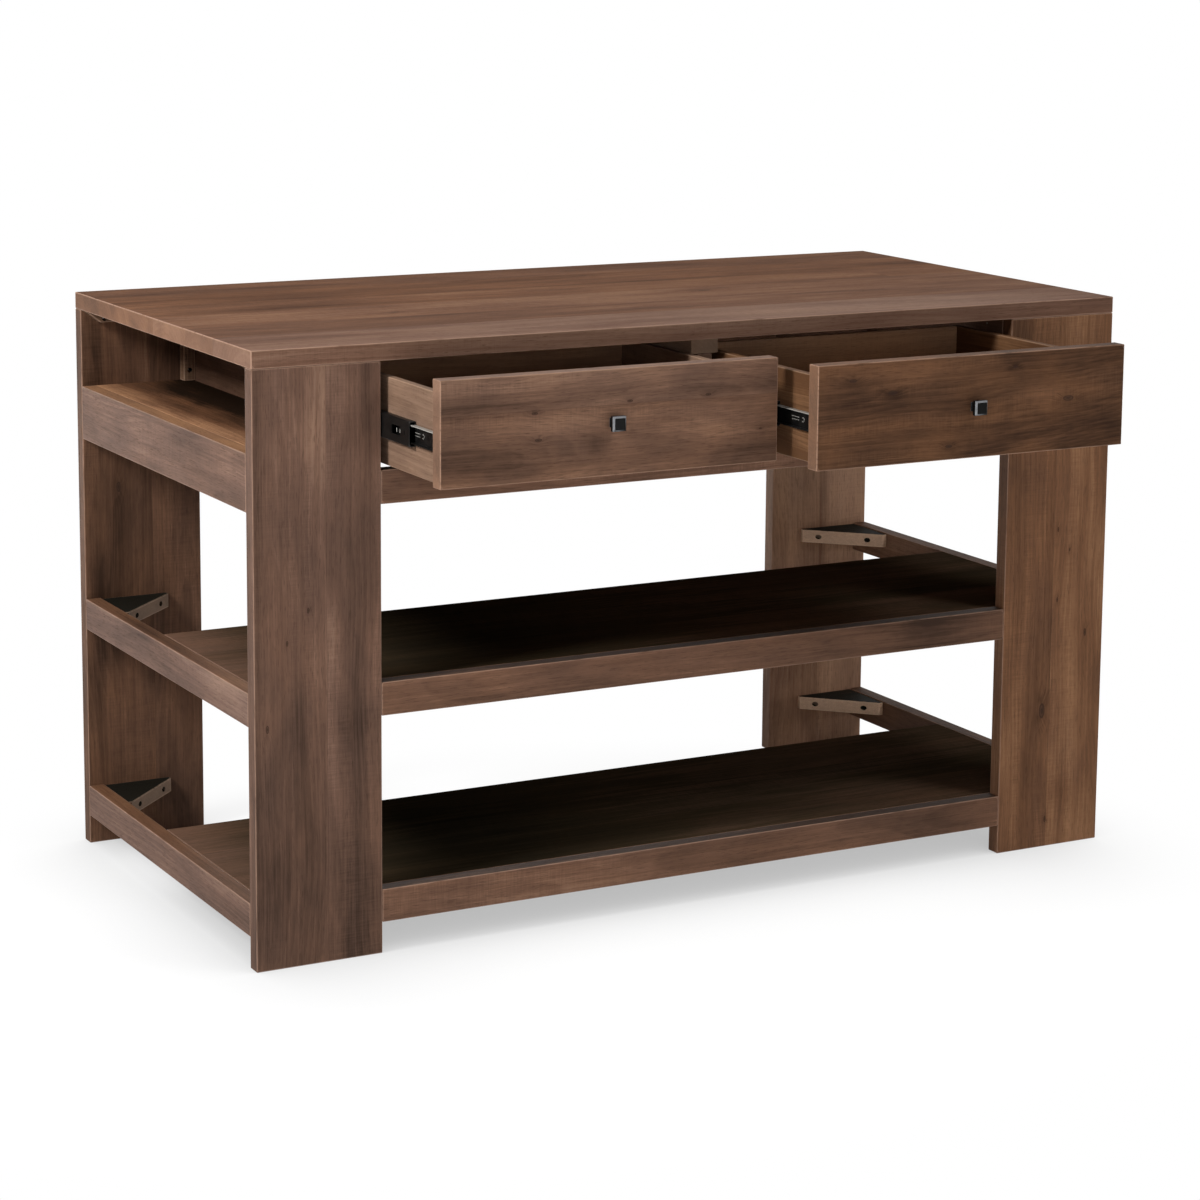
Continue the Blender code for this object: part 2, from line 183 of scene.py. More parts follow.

# %% [markdown]
# The island stands on a studio's pale sheet that runs out to white. Stronger lamps would bleach the
# sheet, but the wood with it. So the floor glows for the camera, and for anything shiny, while the
# light that it throws back on the wood stays that of a pale sheet. Near the island it keeps its
# shading, and its glow grows darker where the island covers it, a painted contact shadow measured
# with an Ambient Occlusion node. Farther away it is simply white, and so is the background.

# %% Shading of the floor
FLOOR_BOUNCE, FLOOR_SHADED = (0.80, 0.79, 0.78, 1), (0.13, 0.13, 0.13, 1)
COVER_REACH, GLOW_COVERED, GLOW_GAIN = 0.40, 0.455, 0.46
SHADE_X, SHADE_Y, SHADE_STRETCH = -0.30, -0.15, 1.25
SHADE_START, SHADE_END = 0.70, 1.04
COVER_SAMPLES = 24


def parts_of(vector):
    return add(vector.tree, "SeparateXYZ", vector, out=(0, 1, 2))


def length_of(u, v):
    return (u * u + v * v).math("SQRT")


def fade(value, start, end):
    """0 at start, 1 at end, with a soft slope between them."""
    return add(value.tree, "MapRange", value, start, end, out="Result",
               interpolation_type="SMOOTHSTEP")


def new_material(name):
    """A material, its node tree and the shader that comes with it."""
    material = bpy.data.materials.new(name)
    material.use_nodes = True
    return material, material.node_tree, material.node_tree.nodes["Principled BSDF"]


def seen_directly(tree):
    """1 for rays from the camera and for mirrored or transmitted ones."""
    rays = ("Is Camera Ray", "Is Glossy Ray", "Is Transmission Ray")
    camera, glossy, passed = add(tree, "LightPath", out=rays)
    return camera.math("MAXIMUM", glossy.math("MAXIMUM", passed))


def floor_material():
    material, tree, _ = new_material("pale_floor")
    tree.nodes.clear()
    x, y, _ = parts_of(add(tree, "TexCoord", out="Object"))
    reach = length_of((x - SHADE_X) / SHADE_STRETCH, y - SHADE_Y)
    # The glow is dimmed where the island covers the floor: a painted contact shadow.
    open_share = add(tree, "AmbientOcclusion", out="AO", samples=COVER_SAMPLES,
                     Distance=COVER_REACH)
    glow = add(tree, "Emission", Strength=open_share * GLOW_GAIN + GLOW_COVERED)
    shaded = add(tree, "BsdfDiffuse", Color=FLOOR_SHADED)
    near = add(tree, "AddShader", shaded, glow)
    far = add(tree, "Emission")
    seen = add(tree, "MixShader", fade(reach, SHADE_START, SHADE_END), near, far)
    bounce = add(tree, "BsdfDiffuse", Color=FLOOR_BOUNCE)
    surface = add(tree, "MixShader", seen_directly(tree), bounce, seen)
    feed(tree.nodes.new("ShaderNodeOutputMaterial"), surface)
    return material


print("the floor turns white", SHADE_START, "to", SHADE_END, "m from the middle of the shade")

# %% Floor
FLOOR_HALF, FLOOR_DROP = 14.0, 0.0004


def new_piece(name, points, faces=()):
    """An object with a mesh of these points and faces."""
    mesh = bpy.data.meshes.new(name)
    mesh.from_pydata(points, [], faces)
    return new_object(name, mesh)


def make_floor():
    signs = ((-1, -1), (1, -1), (1, 1), (-1, 1))
    corners = [(FLOOR_HALF * x, FLOOR_HALF * y, -FLOOR_DROP) for x, y in signs]
    floor = new_piece("floor", corners, [(0, 1, 2, 3)])
    floor.data.materials.append(floor_material())
    return floor


print("floor:", make_floor().name)

# %% Background
WHITE, AMBIENT = (1, 1, 1, 1), 0.06


def make_world():
    world = bpy.data.worlds.new("studio")
    world.use_nodes = True
    scene.world = world
    tree = world.node_tree
    tree.nodes.clear()
    soft = add(tree, "Background", Color=WHITE, Strength=AMBIENT)
    white = add(tree, "Background", Color=WHITE)
    either = add(tree, "MixShader", seen_directly(tree), soft, white)
    feed(tree.nodes.new("ShaderNodeOutputWorld"), either)


make_world()
print("background:", scene.world.name)

# %% [markdown]
# A studio lights dark wood with large soft boxes, because small lamps leave hard spots on it. A
# picture of a studio in the world could do that, but area lamps can be moved one at a time. A wide
# one overhead lights the worktop, which keeps that light from the shelves. Smaller ones on the
# right and the left model the faces. One at the height of the worktop and a reflector near the
# floor light the fronts and the rear legs, and two more reflectors fill the back and the right end.

# %% Lights
def soft_box(name, place, target, width, height, watts):
    lamp = bpy.data.lights.new(name, "AREA")
    lamp.shape = "RECTANGLE"
    lamp.size, lamp.size_y = width, height
    lamp.energy = watts
    box = new_object(name, lamp)
    facing = (Vector(target) - Vector(place)).to_track_quat("-Z", "Y")
    box.matrix_world = Matrix.Translation(place) @ facing.to_matrix().to_4x4()
    box.visible_camera = False
    return box


lights = [
    soft_box("top_box", (0.0, 0.6, 3.2), (0.0, 0.6, 0.0), 4.2, 2.6, 20),
    soft_box("right_box", (2.2, -2.8, 3.6), (0.1, -0.1, 0.6), 1.3, 1.3, 52),
    soft_box("left_box", (-3.5, -0.6, 2.8), (-0.6, 0.1, 0.5), 0.9, 0.9, 155),
    soft_box("front_box", (-1.4, -3.8, 1.1), (0.0, 0.0, 0.5), 1.6, 1.0, 30),
    soft_box("reflector", (-0.5, -2.6, 0.05), (-0.1, 0.0, 0.75), 3.4, 0.8, 28),
    soft_box("rear_reflector", (0.2, 3.0, 0.05), (0.1, 0.4, 0.75), 3.4, 0.8, 50),
    soft_box("right_reflector", (3.2, 0.2, 0.05), (0.7, 0.1, 0.75), 2.0, 0.8, 54),
]
print("lights:", ", ".join(light.name for light in lights))

# %% [markdown]
# The timber is glued up from staves: narrow boards side by side, each with grain of its own. A
# picture of wood would repeat itself and would not stop at the glue lines. Grain that is worked out
# from the place in the stave does, so the mesh carries that place in every face corner. From it
# this node group makes growth rings round a pith, streaks that follow them, fibres, pores, faint
# saw marks, knots that push the rings aside, and the hairline of glue between two staves.

# %% Fields of the grain
GRAIN_FIELDS = ("Streak", "Ring", "Patch", "Line", "Fibre", "Pore", "Saw", "Knot", "Halo", "Glue")


def new_group(name, inputs, outputs, kind="ShaderNodeTree"):
    """An empty node group with named sockets, the wires that come in and the node at its end."""
    tree = bpy.data.node_groups.new(name, kind)
    for label, socket, *value in inputs:
        made = tree.interface.new_socket(label, in_out="INPUT", socket_type="NodeSocket" + socket)
        if value:
            made.default_value = value[0]
    for label, socket in outputs:
        tree.interface.new_socket(label, in_out="OUTPUT", socket_type="NodeSocket" + socket)
    given = {socket.name: Wire(socket) for socket in tree.nodes.new("NodeGroupInput").outputs}
    return tree, given, tree.nodes.new("NodeGroupOutput")


def cloud(place, stretch, detail=2.0, roughness=0.5, out="Fac"):
    """Noise at a place that is given, and stretched, in three parts."""
    tree = place[0].tree
    spot = add(tree, "CombineXYZ", *(part * k for part, k in zip(place, stretch)))
    return add(tree, "TexNoise", out=out, noise_dimensions="3D", Vector=spot, Scale=1.0,
               Detail=detail, Roughness=roughness)


print("fields of the grain:", ", ".join(GRAIN_FIELDS))

# %% Grain of a stave
KNOT_SHARE = 0.42  # How wide a knot is across the grain, for a length of 1 along it.
SMALLEST_KNOT = 0.0005
KNOT_PUSH, KNOT_SPREAD = 2.2, 0.20
RING_DRIFT = 4.0
PITH_ASIDE, PITH_DEPTH, PITH_RISE = 0.16, 0.035, 0.06


def make_grain_group():
    inputs = [("Grain", "Vector"), ("Stave", "Vector"), ("Knot", "Vector"),
              ("Ring Width", "Float", 0.008), ("Wander", "Float", 0.02), ("Mottle", "Float", 4.0)]
    outputs = [(field, "Float") for field in GRAIN_FIELDS]
    tree, given, result = new_group("stave_grain", inputs, outputs)
    along, across, depth = parts_of(given["Grain"])
    tone, warmth, half = parts_of(given["Stave"])
    knot_along, knot_across, knot_size = parts_of(given["Knot"])
    # The fibres wander slowly on their way along the board.
    drift = cloud((along, across, depth), (1.4, 5.0, 5.0), out="Color")
    first, second = add(tree, "SeparateColor", drift, out=(0, 1))
    drift_across, drift_depth = ((way - 0.5) * given["Wander"] for way in (first, second))
    # A knot pushes them aside. Reach is 1 at its rim.
    gap = length_of((along - knot_along) * KNOT_SHARE, across - knot_across)
    reach = gap / knot_size.math("MAXIMUM", SMALLEST_KNOT)
    push = knot_size * ((reach * reach * -KNOT_SPREAD).math("EXPONENT") * KNOT_PUSH)
    bent = across + (drift_across + push)
    # The rings lie round a pith that is somewhere else for each tone and warmth.
    ring_across = across + drift_across * RING_DRIFT - (warmth - 0.5) * PITH_ASIDE
    ring_depth = depth + drift_depth * RING_DRIFT + (tone * PITH_RISE + PITH_DEPTH)
    radius = push + length_of(ring_across, ring_depth)
    turn = (radius / given["Ring Width"]).math("FRACT")
    streak = cloud((along, radius, depth), (1.3, 30.0, 9.0))
    chatter = cloud((along, across, depth), (430.0, 28.0, 28.0), 1.0)
    feed(result,
         Streak=streak,
         Ring=turn * fade(turn, 1.0, 0.78),
         Patch=cloud((along, across, depth), (given["Mottle"], 17.0, 17.0), 5.0, 0.58),
         Line=cloud((along, bent, depth), (2.4, 170.0, 170.0), 2.0, 0.55),
         Fibre=cloud((along, bent, depth), (8.0, 420.0, 420.0), 2.0, 0.6),
         Pore=fade(cloud((along, bent, depth), (75.0, 1300.0, 1300.0), 0.0), 0.62, 0.76),
         Saw=(chatter - 0.5) * fade(streak, 0.42, 0.66),
         Knot=fade(reach, 1.02, 0.78) * ((reach * 9.0).math("SINE") * 0.22 + 0.78),
         Halo=fade(reach, 4.2, 0.9),
         Glue=fade(half - across.math("ABSOLUTE"), 0.0006, 0.0))
    return tree


STAVE_GRAIN = make_grain_group()
print("grain group:", len(STAVE_GRAIN.nodes), "nodes")

# %% [markdown]
# The wood is stained dark, and rubbed lighter on the arrises where hands and cloths pass. On the
# worktop that pale edge is made stronger, a painted highlight as well as wear. The stain turns the
# grain into colour: streaks, patches and rings pick a brown between dark and light. A Color Ramp
# would do for a single finish. Here the three browns are inputs of a group instead, so that every
# finish can have its own. Warm and grey staves get their tint, knots and pores go darker, and sawn
# end grain stays paler.

# %% Stain and wear
GREY_TINT, WARM_TINT = (0.97, 1.005, 1.075, 1), (1.09, 0.893, 0.632, 1)


def held(value):
    """A value kept between 0 and 1."""
    return add(value.tree, "Clamp", value)


def mixed(factor, first, second, mode="MIX"):
    """Mixes two colours. They are the seventh and eighth input of the Mix node."""
    tree = next(value.tree for value in (factor, first, second) if isinstance(value, Wire))
    unused = [None] * 5
    return add(tree, "Mix", factor, *unused, first, second, out=2, data_type="RGBA",
               blend_type=mode)


def make_stain_group():
    inputs = [(field, "Float") for field in GRAIN_FIELDS]
    inputs += [("Stave", "Vector"), ("Shade", "Float"), ("End Grain", "Float"), ("Dark", "Color"),
               ("Mid", "Color"), ("Light", "Color"), ("Knot Colour", "Color"),
               ("Figure", "Float", 1.0)]
    outputs = [("Color", "Color"), ("Level", "Float"), ("Relief", "Float")]
    tree, given, result = new_group("stain", inputs, outputs)
    streak, ring, patch, line, fibre, pore, saw, knot, halo, glue = (given[f] for f in GRAIN_FIELDS)
    tone, warmth, _ = parts_of(given["Stave"])
    figure = (streak - 0.5) * 0.70 + (patch - 0.5) * 0.90 + (ring - 0.4) * -0.11
    figure = figure * given["Figure"] + (line - 0.5) * 0.5 * patch
    level = figure + (fibre - 0.5) * 0.36 + (tone * 0.7 + 0.15) + (saw * 0.22 + given["Shade"])
    level = held(level - halo * 0.10)
    lower = mixed(level * 2.0, given["Dark"], given["Mid"])
    stained = mixed(level * 2.0 - 1.0, lower, given["Light"])
    tint = mixed(warmth + (patch - 0.5) * 0.6, GREY_TINT, WARM_TINT)
    stained = mixed(1.0, stained, tint, "MULTIPLY")
    for share, label in ((pore * 0.36, "Dark"), (knot * 0.85, "Knot Colour"),
                         (glue * 0.35, "Knot Colour"), (given["End Grain"] * 0.33, "Light")):
        stained = mixed(share, stained, given[label])
    feed(result, Color=stained, Level=level, Relief=fibre * 0.5 - pore * 0.8 - glue * 0.6)
    return tree


def make_wear_group():
    inputs = [("Edge", "Float"), ("Grain", "Vector"), ("Amount", "Float", 1.0)]
    tree, given, result = new_group("rubbed_edge", inputs, [("Wear", "Float")])
    patchy = cloud(parts_of(given["Grain"]), (22.0, 160.0, 160.0), 3.0, 0.6)
    worn = fade(given["Edge"], 0.60, 1.0) * fade(patchy, 0.22, 0.55)
    feed(result, Wear=held(worn * given["Amount"]))
    return tree


STAIN, RUBBED_AND_HIGHLIT_EDGE = make_stain_group(), make_wear_group()
print("groups:", STAIN.name, RUBBED_AND_HIGHLIT_EDGE.name)

# %% [markdown]
# A finish joins the groups in a material: they feed the colour, the roughness and a shallow bump.
# One material could serve all the wood, but the real boards took the stain differently: the drawer
# boxes are pale. The shelves are nearly black, a painted shade, as the worktop keeps the light from
# them. So a function makes one for the worktop, the frame, the cubby floors, the shelves, the drawer
# fronts, the drawer boxes and the sawn blocks, each with browns of its own.

# %% A timber finish
WEAR_AND_HIGHLIGHT_LIFT, GRAIN_RELIEF = 1.28, 0.0004


def colour(red, green, blue):
    """A colour picked on a screen, as the linear value that a shader wants."""
    return (*(((c / 255 + 0.055) / 1.055) ** 2.4 for c in (red, green, blue)), 1.0)


KNOT_BROWN = colour(44, 31, 25)


def reading(tree, name, out="Fac"):
    return add(tree, "Attribute", out=out, attribute_type="GEOMETRY", attribute_name=name)


def bumped(height, strength, distance):
    return add(height.tree, "Bump", out="Normal", Strength=strength, Distance=distance,
               Height=height)


def timber(name, dark, mid, light, rough, shine, figure=1.0, wander=0.02, mottle=4.0, wear=0.8,
           bump=0.25):
    material, tree, shader = new_material(name)
    dark, mid, light = colour(*dark), colour(*mid), colour(*light)
    grain, stave, knot = (reading(tree, label, "Vector") for label in ("grain", "stave", "knot"))
    fields = add(tree, "Group", out=GRAIN_FIELDS, node_tree=STAVE_GRAIN, Grain=grain,
                 Stave=stave, Knot=knot, Wander=wander, Mottle=mottle)
    fields = dict(zip(GRAIN_FIELDS, fields))
    stained, level, relief = add(
        tree, "Group", out=("Color", "Level", "Relief"), node_tree=STAIN, Stave=stave,
        Shade=reading(tree, "shade"), End_Grain=reading(tree, "end_grain"), Dark=dark, Mid=mid,
        Light=light, Knot_Colour=KNOT_BROWN, Figure=figure, **fields)
    worn = add(tree, "Group", node_tree=RUBBED_AND_HIGHLIT_EDGE, Edge=reading(tree, "edge"),
               Grain=grain, Amount=wear)
    pale = (*(WEAR_AND_HIGHLIGHT_LIFT * c for c in light[:3]), 1.0)
    gloss = level * -0.10 + (rough + 0.05) + fields["Pore"] * 0.12 + worn * -0.10
    feed(shader, Base_Color=mixed(worn, stained, pale), Roughness=gloss, Specular_IOR_Level=shine,
         Normal=bumped(relief, bump, GRAIN_RELIEF))
    return material


print("knots are", [round(c, 3) for c in KNOT_BROWN])

# %% Browns of the timber
FINISHES = {
    # The worktop's strong edge wear is partly a painted highlight along its arrises.
    "worktop": timber("worktop_timber", (64, 44, 34), (108, 80, 65), (142, 114, 97), 0.66, 0.03,
                      wear=1.5),
    "frame": timber("frame_timber", (51, 37, 29), (105, 80, 67), (150, 122, 105), 0.55, 0.08,
                    figure=0.85, wander=0.03, mottle=6.0, wear=0.55),
    "cubby": timber("cubby_timber", (30, 21, 15), (108, 79, 62), (176, 140, 114), 0.60, 0.04,
                    mottle=6.0, wear=0.0),
    # The shelf's dark, greenish browns are a painted shade, darker than the same wood elsewhere.
    "shelf": timber("shelf_timber", (34, 30, 22), (62, 52, 39), (112, 87, 73), 0.60, 0.0,
                    figure=0.5),
    "front": timber("front_timber", (46, 32, 24), (104, 79, 65), (146, 116, 97), 0.55, 0.08,
                    figure=0.75, wander=0.05, mottle=9.0),
    "box": timber("box_timber", (84, 62, 47), (138, 112, 93), (176, 147, 123), 0.55, 0.08,
                  figure=0.8, mottle=6.0, wear=0.3),
    # Its near-black dark serves the painted shade on the tops of the corner blocks.
    "block": timber("sawn_timber", (22, 21, 17), (112, 89, 75), (196, 166, 142), 0.62, 0.05,
                    figure=0.5, wear=0.3, bump=0.5),
}
print("timber finishes:", ", ".join(FINISHES))

# %% [markdown]
# A board is never a sharp box: its arrises are broken with a plane or sandpaper, and that thin
# round catches the light. A cube with a Bevel modifier would have the same outline. Here the six
# faces are grids whose outer loops are pulled on to a small quarter round, because loops can then
# crowd together near the edges and follow the stave lines, and every point knows how near it is to
# an edge.

# %% Loops of a board
EASE, RUB = 0.0014, 0.0055


def stations(low, high, step, cuts, ease):
    """Where the loops cross one side of a board."""
    rub = min(RUB, (high - low) / 3)
    ease = min(ease, rub / 2)
    soft = ease * (1 - math.tan(math.pi / 8))
    fixed = [low, low + soft, low + ease, low + rub, high - rub, high - ease, high - soft, high]
    fixed += [cut for cut in cuts if low + rub < cut < high - rub]
    count = max(1, round((high - low - 2 * rub) / step))
    free = [low + rub + (high - low - 2 * rub) * i / count for i in range(1, count)]
    # A loop that would crowd a fixed one is left out.
    return sorted(fixed + [f for f in free if min(abs(f - c) for c in fixed) > step / 4])


print("loops along a metre, 30 mm apart:", len(stations(0.0, 1.0, 0.03, [], EASE)))

# %% Boards with eased edges
def write_values(mesh, name, numbers, domain="CORNER"):
    """Stores one number or three for each point or face corner of a mesh."""
    count = len(mesh.loops) if domain == "CORNER" else len(mesh.vertices)
    kind, field = ("FLOAT", "value") if len(numbers) == count else ("FLOAT_VECTOR", "vector")
    mesh.attributes.new(name, kind, domain).data.foreach_set(field, numbers)


def eased_board(name, low, high, steps, cuts, ease=EASE):
    """A closed rounded box between two corners, with its edge attribute and true normals."""
    lines = [stations(low[a], high[a], steps[a], cuts[a], ease) for a in range(3)]
    last = [len(line) - 1 for line in lines]
    ease = min(ease, min(high[a] - low[a] for a in range(3)) / 6)
    points, normals, edges, index = [], [], [], {}

    def corner(key):
        if key not in index:
            raw = Vector(lines[a][key[a]] for a in range(3))
            core = Vector(min(max(raw[a], low[a] + ease), high[a] - ease) for a in range(3))
            out = (raw - core).normalized()
            spare = sorted(min(raw[a] - low[a], high[a] - raw[a]) for a in range(3))
            index[key] = len(points)
            points.append(core + out * ease)
            normals.append(out)
            edges.append(max(0.0, 1 - spare[1] / RUB))
        return index[key]

    faces = []
    for a in range(3):
        b, c = (a + 1) % 3, (a + 2) % 3
        for side, i, j in product((0, last[a]), range(last[b]), range(last[c])):
            ring = []
            for u, v in ((i, j), (i + 1, j), (i + 1, j + 1), (i, j + 1)):
                key = [0, 0, 0]
                key[a], key[b], key[c] = side, u, v
                ring.append(corner(tuple(key)))
            faces.append(ring if side else ring[::-1])
    obj = new_piece(name, points, faces)
    obj.data.shade_smooth()
    obj.data.normals_split_custom_set_from_vertices(normals)
    write_values(obj.data, "edge", edges, "POINT")
    return obj


print("an arris is rounded to", EASE * 1000, "mm, rubbed over", RUB * 1000, "mm")

# %% [markdown]
# Each stave comes from another part of a tree, so it needs its own start in the grain, its tone and
# its warmth. Staves could be separate objects, but that leaves walls inside the board. So one mesh
# holds them all, and their values are attributes of the face corners, where two faces that meet at
# a glue line can differ sharply. More attributes say where the nearest knot is and how light or
# dark the figure is.

# %% Staves side by side
CHANCE = random.Random(7)  # A fixed seed gives the same boards in every run.
OVERRUN = 0.004  # The outer staves start and end past the board, so no glue shows on its edge.
NO_END = 9e9
TOUCH = 1e-6
LENGTH_TONE, FARTHEST_START = 0.12, 60


def make_rows(low, high, axes, rows):
    """Staves side by side: where each ends across the board, its tone, warmth and butt joints."""
    along, across, _ = axes
    made, start = [], low[across]
    for end, tone, warmth, *joints in rows:
        end = high[across] if end is None else end + ORIGIN[across]
        first, final = start <= low[across] + TOUCH, end >= high[across] - TOUCH
        near = start - OVERRUN if first else start
        far = end + OVERRUN if final else end
        lengths = [(joint + ORIGIN[along], CHANCE.uniform(-LENGTH_TONE, LENGTH_TONE))
                   for joint in joints]
        lengths.append((NO_END, 0.0))
        made.append({"end": end, "tone": tone, "warmth": warmth, "middle": (near + far) / 2,
                     "half": 1.0 if first and final else (far - near) / 2,
                     "lengths": [(stop, step, CHANCE.uniform(0, FARTHEST_START))
                                 for stop, step in lengths]})
        start = end
    return made


print("outer staves run", 1000 * OVERRUN, "mm past the board")

# %% Grain in the face corners
CORNER_VALUES = ("grain", "stave", "knot", "end_grain", "shade")
NO_KNOT = (-99.0, 0.0, 0.001)
# BORE_SHADE paints the walls of bored holes dark, a painted shade in the recess.
BORE_SHADE, BORE_SLACK = -1.2, 1.02
SQUARE_ON = 0.7  # A face looks along an axis when its normal has at least this share of it.


def write_grain(obj, axes, rows, knots=(), patches=(), top_shade=0.0, top_warmth=None, bores=()):
    """Writes each corner's place in its stave, and a shade of figure, top and bores: much of it
    painted light and shade.
    """
    along, across, thick = axes
    mesh = obj.data
    places = [vertex.co.copy() for vertex in mesh.vertices]
    depth = (min(p[thick] for p in places) + max(p[thick] for p in places)) / 2
    top = max(p.z for p in places)
    figure = [sum(amount * math.exp(-((p[along] - a) / ra) ** 2 - ((p[across] - b) / rb) ** 2)
                  for a, b, ra, rb, amount in patches) for p in places]

    def distance(knot, place):
        gap = ((knot[0] - place[along]) * KNOT_SHARE) ** 2 + (knot[1] - place[across]) ** 2
        return gap / knot[2] ** 2

    def in_bore(face):
        return any(all((places[v] - point).cross(Vector(way)).length < BORE_SLACK * radius
                       for v in face.vertices) for point, way, radius in bores)

    grain, stave, eyes, ends, shades = [], [], [], [], []
    for face in mesh.polygons:
        centre = face.center
        row = next((r for r in rows if centre[across] <= r["end"] + TOUCH), rows[-1])
        _, step, shift = next(part for part in row["lengths"] if centre[along] <= part[0])
        eye = NO_KNOT
        if knots:
            a, b, size = min(knots, key=lambda knot: distance(knot, centre))
            eye = (a + shift, b - row["middle"], size)
        warmth = row["warmth"] if top_warmth is None or face.normal.z < SQUARE_ON else top_warmth
        shade = BORE_SHADE if in_bore(face) else 0.0
        for vertex in face.vertices:
            p = places[vertex]
            grain += (p[along] + shift, p[across] - row["middle"], p[thick] - depth)
            stave += (row["tone"] + step, warmth, row["half"])
            eyes += eye
            ends.append(1.0 if abs(face.normal[along]) > SQUARE_ON else 0.0)
            shades.append(figure[vertex] + (top_shade if p.z > top - 10 * TOUCH else 0.0) + shade)
    for name, numbers in zip(CORNER_VALUES, (grain, stave, eyes, ends, shades)):
        write_values(mesh, name, numbers)


print("a face corner carries:", ", ".join(CORNER_VALUES))

# %% [markdown]
# A plank takes its box, its body and its slot from its CAD node, so it can't drift from the
# drawing. All its figure could be left to chance, but then it would be a plank of any island. So
# knots and lighter or darker patches are listed where the real boards show them, and chance adds a
# few more, from a fixed seed. Many of the listed patches are painted light and shade, not figure.

# %% Bodies and slots
def extra(obj, body, slot, finish):
    """Gives a finished piece its material and the body that it rides on."""
    obj.data.materials.clear()
    obj.data.materials.append(finish)
    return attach(obj, body)


def hand_over(obj, node, finish):
    """The same for a piece that stands for a CAD node."""
    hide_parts(node)
    return extra(obj, body_of[node], slot_of[node], finish)


print("slots:", ", ".join(sorted(set(slot_of.values()))))

# %% From a node to a plank
X, Y, Z = 0, 1, 2
LOOP_STEP, LOOP_STEP_ACROSS = 0.03, 0.018
PATCHES_ANYWAY, PATCHES_PER_METRE = 2, 7
PATCH_LENGTH, PATCH_WIDTH, PATCH_LIFT = (0.05, 0.20), (0.010, 0.035), (-0.17, 0.12)


def moved(items, axes):
    """Points of the drawing, given along and across the grain, in the model's frame."""
    along, across, _ = axes
    return [(a + ORIGIN[along], b + ORIGIN[across], *rest) for a, b, *rest in items]


def chance_figure(low, high, axes):
    """A few soft patches, for what is not known of a board's figure."""
    along, across, _ = axes
    count = PATCHES_ANYWAY + round(PATCHES_PER_METRE * (high[along] - low[along]))
    return [(CHANCE.uniform(low[along], high[along]), CHANCE.uniform(low[across], high[across]),
             *(CHANCE.uniform(*ends) for ends in (PATCH_LENGTH, PATCH_WIDTH, PATCH_LIFT)))
            for _ in range(count)]


def plank(node, axes, rows, knots=(), patches=(), finish=None, ease=EASE, top_shade=0.0,
          top_warmth=None):
    """A board in the box of a CAD node.

    axes: the grain's direction, the width and the thickness
    rows: staves, each with its end across the board, tone, warmth and butt joints
    knots: along, across and radius
    patches: along, across, reach in both directions, and how much lighter
    """
    low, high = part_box(node)
    along, across, _ = axes
    staves = make_rows(low, high, axes, rows)
    cuts, steps = [[], [], []], [LOOP_STEP] * 3
    cuts[across] = [stave["end"] for stave in staves[:-1]]
    cuts[along] = [part[0] for stave in staves for part in stave["lengths"][:-1]]
    steps[across] = LOOP_STEP_ACROSS
    obj = eased_board("wood_" + node, low, high, steps, cuts, ease)
    figure = moved(patches, axes) + chance_figure(low, high, axes)
    write_grain(obj, axes, staves, moved(knots, axes), figure, top_shade, top_warmth)
    return hand_over(obj, node, FINISHES[finish or slot_of[node]])


print("planks have a loop every", 1000 * LOOP_STEP, "mm along the grain")

# %% [markdown]
# The worktop is six staves wide. Their ends show as blocks of colour along its left edge, which is
# how their widths were read. One stave is made of two lengths with a butt joint. Six planks side by
# side would do as well, but once the glue is dry the worktop is one board, with one eased edge all
# round.

# %% Worktop
TOP_STAVES = [(0.149, 0.63, 0.22), (0.260, 0.46, 0.56), (0.399, 0.47, 0.66),
              (0.506, 0.50, 0.84, 1.346), (0.646, 0.38, 0.92), (None, 0.34, 0.75)]
TOP_KNOTS = [(0.366, 0.310, 0.003), (0.95, 0.356, 0.005), (0.86, 0.62, 0.004)]
TOP_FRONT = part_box("worktop")[0].y - ORIGIN.y
# Patches on the front arris (at TOP_FRONT) and the lighter strip along the front are a painted
# highlight and sheen of the front edge; the others are figure.
TOP_FIGURE = [
    (1.25, 0.02, 0.45, 0.07, 0.26), (0.0, 0.02, 0.003, 0.07, -0.06), (0.0, 0.33, 0.003, 0.07, 0.18),
    (0.0, 0.68, 0.003, 0.09, -0.22), (1.3, TOP_FRONT, 0.5, 0.0035, -0.17),
    (0.65, TOP_FRONT, 0.3, 0.0035, 0.10), (0.2, TOP_FRONT, 0.2, 0.0035, -0.10),
    (0.95, 0.26, 0.32, 0.09, 0.11), (0.25, 0.55, 0.2, 0.2, -0.17), (0.23, 0.44, 0.10, 0.018, -0.18),
    (0.95, 0.36, 0.09, 0.02, -0.20), (0.10, 0.08, 0.25, 0.08, -0.04),
    (1.0, 0.30, 0.25, 0.012, -0.10), (0.35, 0.68, 0.3, 0.05, -0.10)]
top = plank("worktop", (X, Y, Z), TOP_STAVES, TOP_KNOTS, TOP_FIGURE)
print(top.name, len(top.data.polygons), "faces")

# %% [markdown]
# Each leg is one wide plank glued from two staves, with the grain upright. One leg could be copied
# four times, as a factory's drawing does. With wood the eye finds a repeated knot at once, so every
# leg has a list of its own. The front right one has the most character: small knots and a large
# swirl near the foot.

# %% Legs
def count_of(start):
    return sum(name.startswith(start) for name in bpy.data.objects.keys())


